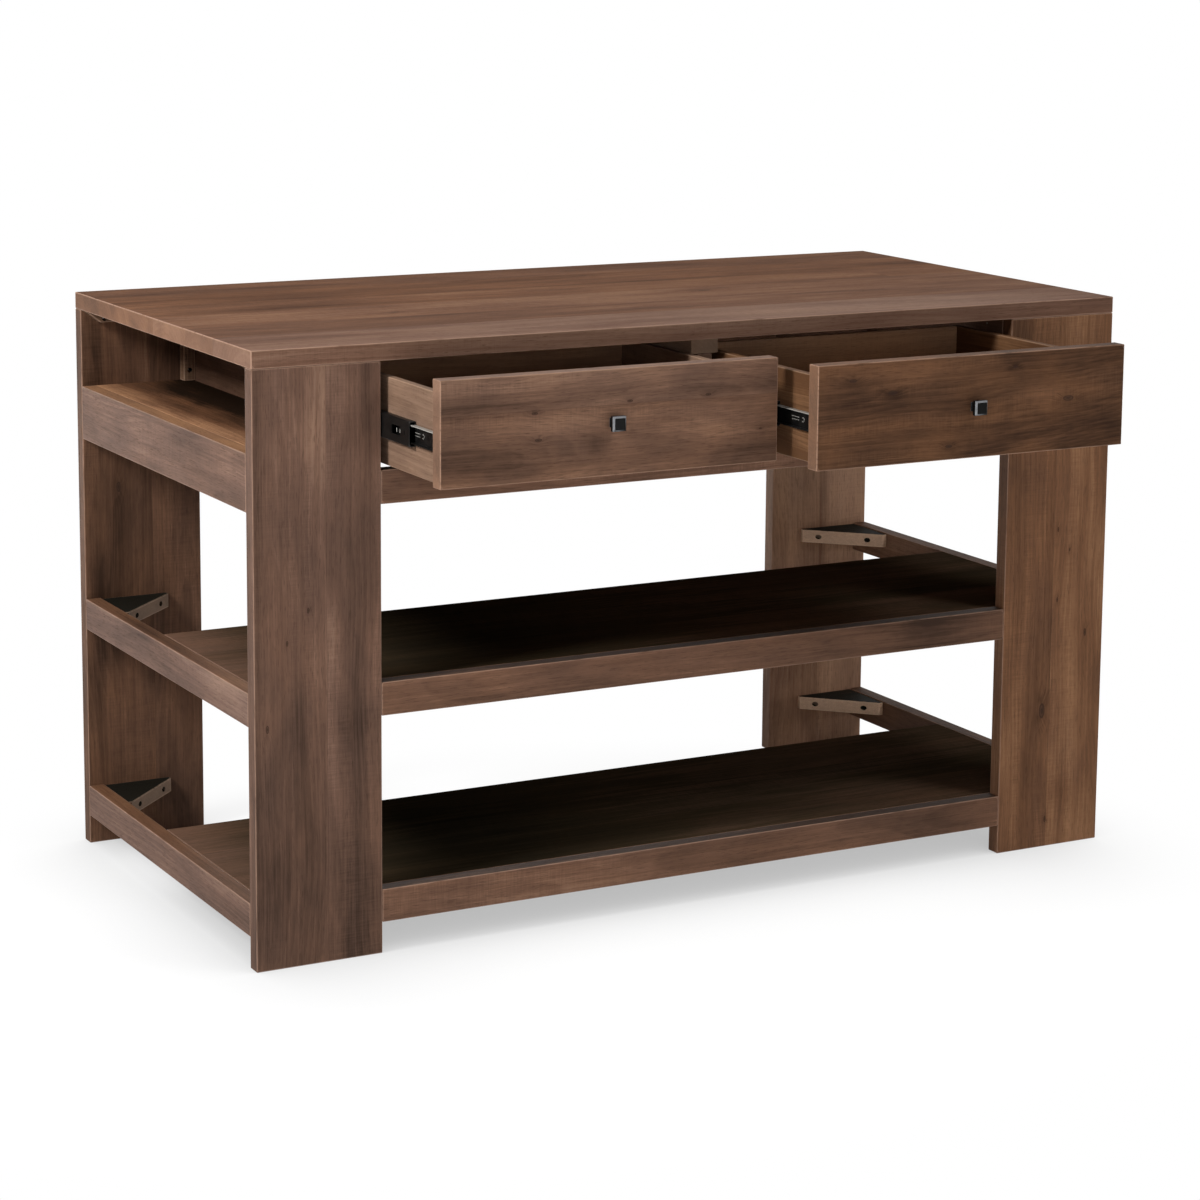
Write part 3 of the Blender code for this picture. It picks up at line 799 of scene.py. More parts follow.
# Its foot is darker, a painted shade near the floor.
plank("leg_front_left", (Z, X, Y), [(0.115, 0.44, 0.30), (None, 0.38, 0.26)],
      knots=[(0.537, 0.0855, 0.002), (0.491, 0.052, 0.002), (0.366, 0.020, 0.0028)],
      patches=[(0.75, 0.008, 0.5, 0.010, -0.25), (0.36, 0.150, 0.03, 0.04, -0.14),
               (0.75, 0.105, 0.3, 0.012, 0.14), (0.30, 0.12, 0.30, 0.012, 0.12),
               (0.02, 0.165, 0.26, 0.05, -0.34), (0.02, 0.06, 0.24, 0.06, -0.16),
               (0.85, 0.10, 0.2, 0.2, 0.08)])
plank("leg_front_right", (Z, X, Y), [(1.419, 0.40, 0.95), (None, 0.55, 1.0)],
      knots=[(0.541, 1.427, 0.002), (0.505, 1.4515, 0.0015), (0.422, 1.429, 0.002),
             (0.361, 1.488, 0.003), (0.235, 1.4045, 0.006), (0.047, 1.417, 0.0025)],
      patches=[(0.235, 1.40, 0.07, 0.03, -0.12), (0.089, 1.450, 0.03, 0.025, -0.20),
               (0.5, 1.345, 0.5, 0.02, -0.08), (0.60, 1.47, 0.35, 0.03, 0.10),
               (0.15, 1.50, 0.12, 0.02, -0.10), (0.10, 1.42, 0.20, 0.20, 0.18)])
plank("leg_rear_left", (Z, X, Y), [(0.118, 0.24, 0.66), (None, 0.28, 0.56)],
      knots=[(0.60, 0.06, 0.004)],
      patches=[(0.55, 0.05, 0.25, 0.01, -0.2), (0.45, 0.10, 0.3, 0.01, 0.16),
               (0.86, 0.10, 0.08, 0.2, -0.15), (0.80, 0.105, 0.09, 0.006, 0.42),
               (0.80, 0.018, 0.12, 0.012, -0.22), (0.42, 0.022, 0.20, 0.007, -0.30),
               (0.80, 0.060, 0.10, 0.010, 0.12), (0.36, 0.140, 0.12, 0.02, -0.18)])
# Its high tone and the lighter patch up its face are partly a painted light, so that it looks lit
# from the front.
plank("leg_rear_right", (Z, X, Y), [(1.425, 0.84, 0.65), (None, 0.80, 0.60)],
      knots=[(0.59, 1.376, 0.003), (0.19, 1.36, 0.003)],
      patches=[(0.5, 1.43, 0.3, 0.012, -0.2), (0.64, 1.42, 0.2, 0.2, 0.35)])
print("legs:", count_of("wood_leg"))

# %% [markdown]
# Rails, aprons, shelves, cubby floors and the case are plain boards with the grain along their
# length. Their upper faces can have another shade: the tops of the rails get a painted shade, where
# little light falls, and the tops of the aprons a painted light that matches the cubby floors. The
# two ends are alike, so a loop makes both. Some boards have patches, most of them painted light and
# shade, the rest take what chance gives them.

# %% Rails, aprons, shelves and case
SHADED_TOP = -0.42
for end in ("left", "right"):
    # The apron's top is lighter and warmer, a painted light that matches the lit edge of the cubby
    # floor.
    plank(f"apron_{end}", (Y, Z, X), [(None, 0.44, 0.28)], ease=0.0007, top_shade=0.42,
          top_warmth=0.95)
    # The tops of these rails get a painted shade, more on the right. The cooler tint of the left
    # boards is partly their own tone and partly a painted sheen of the lamp on the left.
    cool, lift = (0.12, -0.10) if end == "left" else (0.6, -0.25)
    plank(f"rail_mid_{end}", (Y, Z, X), [(None, 0.57, cool)], top_shade=lift, top_warmth=0.75)
    plank(f"rail_low_{end}", (Y, Z, X), [(None, 0.50, cool + 0.05)], top_shade=lift,
          top_warmth=0.85)
    plank(f"case_side_{end}", (Y, Z, X), [(0.80, 0.40, 0.5), (None, 0.46, 0.5)])
    # The cubby floor's patches are a painted light along its outer edge and a painted shade deep
    # inside.
    outer, inner = (0.03, 0.17) if end == "left" else (1.494, 1.354)
    plank(f"cubby_floor_{end}", (Y, X, Z), [(None, 0.74, 0.68)], ease=0.0004, finish="cubby",
          patches=[(0.3, outer, 0.6, 0.035, 0.24), (0.5, inner, 0.6, 0.095, -0.92)])
for level, tone, height, amount in (("mid", 0.42, 0.4, -0.20), ("low", 0.44, 0.1, -0.10)):
    plank(f"shelf_rail_{level}", (X, Z, Y), [(None, tone, 0.50)],
          patches=[(1.25, height, 0.25, 0.3, amount)], top_shade=SHADED_TOP)
plank("drawer_rail", (X, Z, Y), [(None, 0.44, 0.50)], top_shade=SHADED_TOP)
plank("rear_apron", (X, Z, Y), [(0.79, 0.42, 0.6), (None, 0.46, 0.5)])
plank("divider", (Y, Z, X), [(None, 0.42, 0.6)])
plank("stretcher", (Y, X, Z), [(None, 0.85, 0.1)], finish="box")
# The patches of the shelves are painted light and shade: lighter at the left end, where the lamp on
# the left reaches in, darker further in, and a little lighter towards the right.
for level in ("mid", "low"):
    plank(f"shelf_{level}", (X, Y, Z), [(0.16, 0.48, 0.35), (0.29, 0.44, 0.30), (None, 0.50, 0.35)],
          patches=[(0.0, 0.38, 0.15, 0.6, 0.52), (0.42, 0.2, 0.22, 0.6, -0.38),
                   (1.15, 0.2, 0.40, 0.6, 0.16)])
print("boards so far:", count_of("wood_"))

# %% [markdown]
# The drawer fronts are the face of the island. The left one is glued from a narrow stave above a
# wide one, with a dark band at the glue line. The right one is a single dark board with a light
# curl of grain. A picture laid on them would bring its own light and shade along. So they are
# planks like the rest, with more knots and patches, because they are seen from close by. The boxes
# behind them are plain.

# %% Drawers
plank("drawer_left_front", (X, Z, Y), [(0.842, 0.48, 0.42), (None, 0.64, 0.28)],
      knots=[(0.354, 0.838, 0.0024), (0.360, 0.799, 0.0026), (0.509, 0.846, 0.0022),
             (0.640, 0.847, 0.0022), (0.730, 0.790, 0.0012)],
      patches=[(0.25, 0.852, 0.13, 0.016, -0.42), (0.70, 0.859, 0.12, 0.013, -0.32),
               (0.50, 0.848, 0.12, 0.007, -0.14), (0.25, 0.770, 0.11, 0.020, -0.36),
               (0.448, 0.786, 0.012, 0.022, -0.22), (0.41, 0.820, 0.10, 0.02, 0.20),
               (0.66, 0.80, 0.10, 0.03, 0.08)])
plank("drawer_right_front", (X, Z, Y), [(None, 0.11, 0.92)],
      knots=[(0.825, 0.869, 0.0030), (0.895, 0.847, 0.0036), (1.115, 0.872, 0.0022),
             (1.215, 0.818, 0.0045), (0.997, 0.759, 0.0028)],
      patches=[(0.83, 0.83, 0.06, 0.03, -0.06), (1.09, 0.765, 0.22, 0.02, -0.07),
               (1.24, 0.79, 0.10, 0.02, -0.06), (1.17, 0.830, 0.04, 0.016, 0.22),
               (0.93, 0.87, 0.05, 0.012, 0.14), (1.26, 0.86, 0.05, 0.02, 0.05)])
# The right box is darker, a painted shade that the left drawer casts on it, and both backs are
# lighter, the right one most, a painted light that falls in over the fronts.
for side, tone, warmth, back in (("left", 0.28, 0.15, 0.60), ("right", -0.23, 0.85, 0.95)):
    for wall in ("side_left", "side_right"):
        plank(f"drawer_{side}_{wall}", (Y, Z, X),
              [(0.80, tone, warmth), (None, tone + 0.05, warmth)])
    plank(f"drawer_{side}_back", (X, Z, Y), [(None, back, 0.5)])
    plank(f"drawer_{side}_bottom", (X, Y, Z), [(None, 0.45, 0.6)])
print("drawer boards:", count_of("wood_drawer_left"), "and", count_of("wood_drawer_right"))

# %% [markdown]
# Strips in the cubbies, cleats under the worktop and blocks behind the rear legs are sawn pieces
# with screw holes. A dark disc in the material could stand for a hole, but it would look painted
# on. So an outline is pushed out to a solid, its arrises are bevelled, and an inset on each flat
# face gives the wear somewhere to fade out. A Boolean modifier then bores the holes, with real
# walls, which get a painted shade as well.

# %% From an outline to a solid
SAWN_BEVEL, SAWN_RUB = 0.001, 0.004
INSET_SHARE = 0.3  # An inset takes no more than this share of the shortest side.


def piece_from(name, made):
    """Puts a shape that was built point by point into the scene."""
    mesh = bpy.data.meshes.new(name)
    made.to_mesh(mesh)
    made.free()
    return new_object(name, mesh)


def pushed_out(name, outline, axis, low, high, bevel=SAWN_BEVEL, rub=SAWN_RUB):
    """A solid from an outline that is pushed along an axis, with bevelled arrises."""
    made = bmesh.new()
    ring = [made.verts.new((*p[:axis], low, *p[axis:])) for p in outline]
    grown = bmesh.ops.extrude_face_region(made, geom=[made.faces.new(ring)])["geom"]
    lift = Vector((0, 0, 0))
    lift[axis] = high - low
    points = [part for part in grown if isinstance(part, bmesh.types.BMVert)]
    bmesh.ops.translate(made, verts=points, vec=lift)
    bmesh.ops.recalc_face_normals(made, faces=made.faces)
    rounds = set(bmesh.ops.bevel(made, geom=list(made.edges), offset=bevel, segments=2, profile=0.5,
                                 affect="EDGES")["faces"])
    worn = made.verts.layers.float.new("edge")
    for vertex in made.verts:
        vertex[worn] = 1.0
    for flat in [face for face in made.faces if face not in rounds]:
        inset = min(rub, INSET_SHARE * min(edge.calc_length() for edge in flat.edges))
        bmesh.ops.inset_individual(made, faces=[flat], thickness=inset, use_even_offset=True)
        for vertex in flat.verts:
            vertex[worn] = 0.0
    return piece_from(name, made)


print("sawn arrises are bevelled by", 1000 * SAWN_BEVEL, "mm")

# %% Bored holes
HOLE = 0.0042
DRILL_LENGTH, DRILL_SIDES = 0.3, 28


def settle(obj):
    """Turns a piece with modifiers into a plain mesh."""
    bpy.context.view_layer.update()
    graph = bpy.context.evaluated_depsgraph_get()
    mesh = bpy.data.meshes.new_from_object(obj.evaluated_get(graph), preserve_all_data_layers=True,
                                           depsgraph=graph)
    obj.modifiers.clear()
    obj.data = mesh
    return obj


def bore(obj, holes):
    """Bores round holes through a piece: each has a point on its axis, a direction and a radius."""
    made = bmesh.new()
    for point, direction, radius in holes:
        turn = Vector(direction).to_track_quat("Z", "Y").to_matrix().to_4x4()
        bmesh.ops.create_cone(made, cap_ends=True, segments=DRILL_SIDES, radius1=radius,
                              radius2=radius, depth=DRILL_LENGTH,
                              matrix=Matrix.Translation(point) @ turn)
    drill = piece_from("drill", made)
    cut = obj.modifiers.new("bore", "BOOLEAN")
    cut.object, cut.operation, cut.solver = drill, "DIFFERENCE", "EXACT"
    settle(obj)
    bpy.data.objects.remove(drill)
    return obj


print("holes are", 2000 * HOLE, "mm wide")

# %% [markdown]
# All ten of these pieces come from three outlines: a rectangle, a strip with a slanted end and a
# triangle with blunt corners. The right end could be a mirrored copy of the left, but a mirror
# turns a mesh inside out, so a loop draws both from their outer corners. Each hole holds a screw,
# with its head some way down. The places of the screws are kept in a list, for the step that makes
# them.

# %% A sawn piece and its screws
SCREWS = {"carcass": []}
SMALL_HEAD = 0.0030


def true_normals(obj, angle=40):
    """Sharp edges stay sharp, and flat faces stay flat up to the bevels beside them."""
    obj.data.shade_smooth()
    obj.data.set_sharp_from_angle(angle=math.radians(angle))
    obj.modifiers.new("normals", "WEIGHTED_NORMAL").keep_sharp = True
    return settle(obj)


def sawn(node, outline, axis, axes, holes, tone, warmth, sink, top_shade=0.0):
    """A bored piece and its screws. A hole has a point and the way that its screw's head faces."""
    low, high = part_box(node)
    bores = [(point, [abs(c) for c in facing], HOLE) for point, facing in holes]
    obj = bore(pushed_out("wood_" + node, outline, axis, low[axis], high[axis]), bores)
    true_normals(obj)
    write_grain(obj, axes, make_rows(low, high, axes, [(None, tone, warmth)]), top_shade=top_shade,
                bores=bores)
    SCREWS["carcass"] += [(point - sink * Vector(facing), facing, SMALL_HEAD)
                          for point, facing in holes]
    return hand_over(obj, node, FINISHES["block"])


print("heads of the small screws are", 2000 * SMALL_HEAD, "mm wide")

# %% Posts, cleats and corner blocks
WIDTH = 1.524
STRIP_SINK, BLOCK_SINK = 0.007, 0.013
POST_HOLE_Z, CLEAT_HOLE_X, CLEAT_HOLE_Z = 0.7898, 0.034, 0.8837
CLEAT_SLOPE = 0.025
BLOCK_LEG, BLOCK_NOSE, BLOCK_HOLE_FAR, BLOCK_HOLE_NEAR = 0.115, 0.008, 0.094, 0.029


def rectangle(u0, v0, u1, v1):
    return [(u0, v0), (u1, v0), (u1, v1), (u0, v1)]


for end, side in (("left", 1), ("right", -1)):
    low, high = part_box(f"post_{end}")
    hole = Vector(((low.x + high.x) / 2, low.y, POST_HOLE_Z))
    sawn(f"post_{end}", rectangle(low.x, low.y, high.x, high.y), Z, (Z, X, Y),
         [(hole, (0, -1, 0))], 0.50, 0.6, STRIP_SINK)
    for row, inward in (("front", 1), ("rear", -1)):
        low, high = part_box(f"cleat_{row}_{end}")
        outer, inner = (low.x, high.x) if side > 0 else (high.x, low.x)
        outline = [(outer, high.z), (outer + side * CLEAT_SLOPE, low.z), (inner, low.z),
                   (inner, high.z)]
        from_left = CLEAT_HOLE_X if side > 0 else WIDTH - CLEAT_HOLE_X
        hole = Vector((ORIGIN.x + from_left, high.y if inward > 0 else low.y, CLEAT_HOLE_Z))
        sawn(f"cleat_{row}_{end}", outline, Y, (X, Z, Y), [(hole, (0, inward, 0))], 0.44, 0.5,
             STRIP_SINK)
    for level in ("mid", "low"):
        low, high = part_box(f"corner_block_{level}_{end}")
        corner = Vector((low.x if side > 0 else high.x, high.y, (low.z + high.z) / 2))
        sides = [(0, 0), (BLOCK_LEG, 0), (BLOCK_LEG, -BLOCK_NOSE), (BLOCK_NOSE, -BLOCK_LEG),
                 (0, -BLOCK_LEG)]
        outline = [(corner.x + side * u, corner.y + v) for u, v in sides]
        to_leg = corner + Vector((side * BLOCK_HOLE_FAR, -BLOCK_HOLE_NEAR, 0))
        to_rail = corner + Vector((side * BLOCK_HOLE_NEAR, -BLOCK_HOLE_FAR, 0))
        # The tops of the blocks are painted dark, a painted shade, and the left blocks get the lowest
        # tone, a painted shade, while the right ones, lit from the front, get the highest.
        sawn(f"corner_block_{level}_{end}", outline, Z, (X, Y, Z),
             [(to_leg, (0, -1, 0)), (to_rail, (side, 0, 0))], 0.0 if side > 0 else 1.0, 0.4,
             BLOCK_SINK, top_shade=-0.9)
print("screw places so far:", len(SCREWS["carcass"]))

# %% [markdown]
# Handled metal shows cloudy smudges, fine specks in the coat, and arrises where the coat is rubbed
# thin. On the knobs and the upper lips of the drawer channels the pale arrises are also a painted
# highlight. The Pointiness of a mesh could find those arrises, but it changes with the size of the
# faces, so they are marked in each mesh as it is made. One node group makes the rest. Black coated
# steel, zinc, black plastic and the satin black of the knobs use it with their own colours.

# %% Metal and plastic finishes
SMUDGE_SCALE = 70.0
SPECK_RELIEF = 0.0001


def make_handled_group():
    inputs = [("Place", "Vector"), ("Speck Size", "Float", 0.0006)]
    outputs = [("Smudge", "Float"), ("Speck", "Float")]
    tree, given, result = new_group("handled", inputs, outputs)
    place = parts_of(given["Place"])
    per_speck = add(tree, "Math", 1.0, given["Speck Size"], operation="DIVIDE")
    feed(result, Smudge=cloud(place, [SMUDGE_SCALE] * 3, 4.0, 0.6),
         Speck=cloud(place, [per_speck] * 3))
    return tree


HANDLED = make_handled_group()


def coated(name, deep, pale, worn, rough, metallic, speck, bump, wear=0.8, shine=0.2):
    material, tree, shader = new_material(name)
    smudge, specks = add(tree, "Group", out=("Smudge", "Speck"), node_tree=HANDLED,
                         Place=add(tree, "TexCoord", out="Object"), Speck_Size=speck)
    tinted = mixed(fade(smudge, 0.3, 0.7), colour(*deep), colour(*pale))
    # rubbed is real wear, and on knob bevels and channel lips a painted highlight too.
    rubbed = fade(reading(tree, "edge"), 0.5, 1.0) * fade(smudge, 0.15, 0.45) * wear
    feed(shader, Base_Color=mixed(rubbed, tinted, colour(*worn)),
         Roughness=held((smudge - 0.5) * 0.3 + rough + rubbed * -0.08), Metallic=metallic,
         Specular_IOR_Level=shine, Normal=bumped(specks, bump, SPECK_RELIEF))
    return material


# Its pale worn colour is wear at the cut ends and a painted highlight on the upper lips.
STEEL = coated("black_coated_steel", (9, 9, 9), (20, 19, 18), (168, 165, 159), 0.40, 0.0,
               0.0007, 0.3)
ZINC = coated("zinc_plate", (140, 138, 132), (178, 176, 170), (208, 206, 200), 0.33, 0.6,
              0.0004, 0.2, shine=0.5)
PLASTIC = coated("black_plastic", (10, 10, 10), (19, 19, 18), (52, 50, 48), 0.55, 0.0, 0.0003, 0.25)
# Its pale worn colour is mostly a painted highlight on the top and left bevels of the knobs.
SATIN = coated("satin_black", (6, 6, 6), (13, 12, 11), (124, 125, 128), 0.34, 0.0, 0.0005, 0.25,
               wear=1.0, shine=0.08)
print("finishes:", STEEL.name, ZINC.name, PLASTIC.name, SATIN.name)

# %% [markdown]
# A drawer slide is three channels of rolled sheet, one in the other. A bent strip with a Solidify
# modifier could stand for one, but then its wear would have to be marked afterwards. Here each
# channel is drawn as the line that the middle of its sheet follows, in millimetres, seen from the
# front. The line gets round bends, the sheet gets its gauge on both sides of it, and the result is
# drawn out to the length of the slide.

# %% Bent lines
BEND, BEND_STEPS = 0.0011, 5
SECTIONS = {
    "cabinet": [(10.9, -19.9), (10.9, -22.2), (0.9, -22.2), (0.9, 22.2), (10.9, 22.2),
                (10.9, 19.9)],
    "middle": [(10.9, -14.4), (10.9, -18.2), (2.4, -18.2), (2.4, 18.2), (10.9, 18.2), (10.9, 14.4)],
    "drawer": [(3.4, -12.9), (11.8, -12.9), (11.8, 12.9), (3.4, 12.9)],
}


def left_of(d):
    return Vector((-d.y, d.x))


def rolled_line(path):
    """Points of a bent line, each with the direction across the sheet."""
    points = [Vector(p) / 1000 for p in path]
    ways = [(b - a).normalized() for a, b in zip(points, points[1:])]
    line = [(points[0], left_of(ways[0]))]
    for p, a, b in zip(points[1:], ways, ways[1:]):
        side = 1 if a.x * b.y - a.y * b.x > 0 else -1
        angle = a.angle(b)
        hub = p - a * BEND * math.tan(angle / 2) + left_of(a) * BEND * side
        for k in range(BEND_STEPS + 1):
            turned = Matrix.Rotation(side * angle * k / BEND_STEPS, 2) @ left_of(a)
            line.append((hub - turned * BEND * side, turned))
    line.append((points[-1], left_of(ways[-1])))
    return line


print("points of a bent line:", [len(rolled_line(path)) for path in SECTIONS.values()])

# %% Rolled channels
GAUGE = 0.0012
SLIDE_Z = 0.8032
CHANNEL_LOOPS = (0.0, 0.0012, 0.006, 0.2, 0.394, 0.3988, 0.4)
END_WEAR = 0.62


def new_shape():
    """An empty shape, and the function that adds a point with its share of wear."""
    made = bmesh.new()
    worn = made.verts.layers.float.new("edge")

    def point(place, wear):
        vertex = made.verts.new(place)
        vertex[worn] = wear
        return vertex

    return made, point


def channel(node, member, face, side):
    """A channel of a slide, from the case wall at face. side points from the wall to the drawer."""
    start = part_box(node)[0].y
    line = rolled_line(SECTIONS[member])
    # The line ends at the upper lip, which is painted pale all along, a painted highlight of the
    # light from above.
    lip = len(line) - (2 if member == "drawer" else 1)
    made, point = new_shape()
    rows = []
    for along in CHANNEL_LOOPS:
        end_wear = END_WEAR if along in (CHANNEL_LOOPS[0], CHANNEL_LOOPS[-1]) else 0.0
        row = []
        for i, (p, across) in enumerate(line):
            sheet = (p + across * GAUGE / 2, p - across * GAUGE / 2)
            row.append([point((face + side * q.x, start + along, SLIDE_Z + q.y),
                              1.0 if i >= lip else end_wear) for q in sheet])
        rows.append(row)
    for a, b in zip(rows, rows[1:]):
        for i in range(len(line) - 1):
            made.faces.new((a[i][0], a[i + 1][0], b[i + 1][0], b[i][0]))
            made.faces.new((a[i][1], b[i][1], b[i + 1][1], a[i + 1][1]))
        for i in (0, -1):
            made.faces.new((a[i][0], b[i][0], b[i][1], a[i][1]))
    for row in (rows[0], rows[-1]):
        for a, b in zip(row, row[1:]):
            made.faces.new((a[0], a[1], b[1], b[0]))
    bmesh.ops.recalc_face_normals(made, faces=made.faces)
    return piece_from("steel_" + node, made)


print("channels:", ", ".join(SECTIONS))

# %% [markdown]
# A press has pierced slots and windows through the webs of the channels. They could be bored one by
# one, like the screw holes, but they repeat along a line, and that is work for Geometry Nodes. This
# tree makes a rounded punch as the convex hull of four thin cylinders, repeats it along the web and
# takes it out of the channel. Its inputs are the sizes a toolmaker would ask for.

# %% Pierced webs
PUNCH_DEPTH = 0.006


def new_recipe(name, inputs):
    """A Geometry Nodes group that takes a geometry and a finish, and hands back a geometry."""
    inputs = [("Geometry", "Geometry"), *inputs, ("Finish", "Material")]
    return new_group(name, inputs, [("Geometry", "Geometry")], "GeometryNodeTree")


def set_on(points, instance, **values):
    """Sets a copy on every point and makes the copies real."""
    copies = add(points.tree, "InstanceOnPoints", Points=points, Instance=instance, **values)
    return add(points.tree, "RealizeInstances", copies)


def finish_with(geometry, given, result):
    feed(result, add(geometry.tree, "SetMaterial", geometry, Material=given["Finish"]))


def make_punch_tree():
    tree, given, result = new_recipe("pierced_web", [
        ("Start", "Vector"), ("Pitch", "Float", 0.1), ("Count", "Int", 1),
        ("Length", "Float", 0.02), ("Height", "Float", 0.006), ("Corner", "Float", 0.002)])
    twice = given["Corner"] * 2.0
    pin = add(tree, "MeshCylinder", Vertices=20, Depth=PUNCH_DEPTH, Radius=given["Corner"])
    corners = add(tree, "MeshGrid", Vertices_X=2, Vertices_Y=2,
                  Size_X=given["Height"] - twice, Size_Y=given["Length"] - twice)
    hull = add(tree, "ConvexHull", set_on(corners, pin))
    punch = add(tree, "Transform", hull, Rotation=(0, math.pi / 2, 0))
    step = add(tree, "ShaderNodeCombineXYZ", 0.0, given["Pitch"], 0.0)
    spots = add(tree, "MeshLine", Count=given["Count"], Start_Location=given["Start"], Offset=step)
    taken = add(tree, "MeshBoolean", operation="DIFFERENCE", solver="EXACT",
                Mesh_1=given["Geometry"], Mesh_2=set_on(spots, punch))
    finish_with(add(tree, "RealizeInstances", taken), given, result)
    return tree


PIERCED_WEB = make_punch_tree()
print("punch tree:", len(PIERCED_WEB.nodes), "nodes")

# %% [markdown]
# Four slides carry the two drawers. The fixed channel has three mounting slots, the middle one a
# slit, a window and a row of slots, the drawer's one holes and slots behind its first screw. One
# slide could be made and copied, but left and right ones mirror each other, so each channel is
# rolled where it belongs. It rides on its own body, so the slide telescopes.

# %% Drawer slides
SLIDES = {"left_outer": (0.2022, 1), "left_inner": (0.7493, -1),
          "right_inner": (0.7747, 1), "right_outer": (1.3218, -1)}
WEBS = {"cabinet": 0.0009, "middle": 0.0024, "drawer": 0.0118}
WEB_FACE = 0.0112  # The side of the drawer's web that looks at the case wall.
SLIDE_HEAD = 0.0037
SLIDE_SCREWS = (0.032, 0.160, 0.288)
# First place along the channel, pitch, count, length, height and corner radius.
HOLES = {
    "cabinet": [(0.035, 0.150, 3, 0.016, 0.0056, 0.0027)],
    "middle": [(0.0435, 0.1, 1, 0.031, 0.0135, 0.0025), (0.0139, 0.1, 1, 0.0024, 0.0065, 0.0011),
               (0.100, 0.060, 5, 0.012, 0.0050, 0.0024)],
    "drawer": [(0.176, 0.128, 2, 0.0062, 0.0062, 0.0030),
               (0.1975, 0.128, 2, 0.021, 0.0046, 0.0022)],
}


def with_nodes(obj, tree, **values):
    """Runs a Geometry Nodes tree on a piece and keeps the result as a plain mesh."""
    recipe = obj.modifiers.new(tree.name, "NODES")
    recipe.node_group = tree
    items = [item for item in tree.interface.items_tree if item.in_out == "INPUT"]
    names = {item.name: item.identifier for item in items}
    for label, value in values.items():
        recipe[names[label]] = value
    return settle(obj)


for slide, (wall, side) in SLIDES.items():
    face = wall + ORIGIN.x
    for member, rows in HOLES.items():
        node = f"slide_{slide}_{member}"
        obj = channel(node, member, face, side)
        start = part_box(node)[0].y
        for first, pitch, count, length, height, radius in rows:
            with_nodes(obj, PIERCED_WEB, Start=(face + side * WEBS[member], start + first, SLIDE_Z),
                       Pitch=pitch, Count=count, Length=length, Height=height, Corner=radius,
                       Finish=STEEL)
        hand_over(true_normals(obj), node, STEEL)
        if member == "drawer":
            places = [Vector((face + side * WEB_FACE, start + along, SLIDE_Z))
                      for along in SLIDE_SCREWS]
            SCREWS.setdefault(body_of[node], []).extend(
                (place, (-side, 0, 0), SLIDE_HEAD) for place in places)
print("slides:", len(SLIDES), "of", len(HOLES), "channels each")

# %% [markdown]
# The front end of each middle channel wears a black plastic cap that softens the stop, and two
# bright tabs of its catch show in the window. Beside the first screw of the drawer's channel the
# press has left a raised rim and a bar. A bump in the material could hint at them, but it vanishes
# from the side, so they are low beads that follow a line on the web.

# %% Skins and beads
RIM_BEAD, BAR_BEAD = (0.0012, 0.0006), (0.0010, 0.0004)  # Width and height.
BEAD_SECTION = ((-1, 0), (-0.6, 1), (0.6, 1), (1, 0))  # Shares of half the width and of the height.


def loft(made, loops):
    """Skins closed loops of points one after the other, and closes both ends."""
    for a, b in zip(loops, loops[1:]):
        for i in range(len(a)):
            j = (i + 1) % len(a)
            made.faces.new((a[i], a[j], b[j], b[i]))
    made.faces.new(loops[0])
    made.faces.new(loops[-1])
    bmesh.ops.recalc_face_normals(made, faces=made.faces)


def bead(shape, line, out, width, height):
    """Adds a low raised bead along a line of points. out points away from the sheet."""
    made, point = shape
    rows = []
    for i, place in enumerate(line):
        ahead = (line[min(i + 1, len(line) - 1)] - line[max(i - 1, 0)]).normalized()
        across = ahead.cross(out) * width / 2
        rows.append([point(place + across * share + out * height * lift, lift)
                     for share, lift in BEAD_SECTION])
    loft(made, rows)


print("a rim stands out by", 1000 * RIM_BEAD[1], "mm")

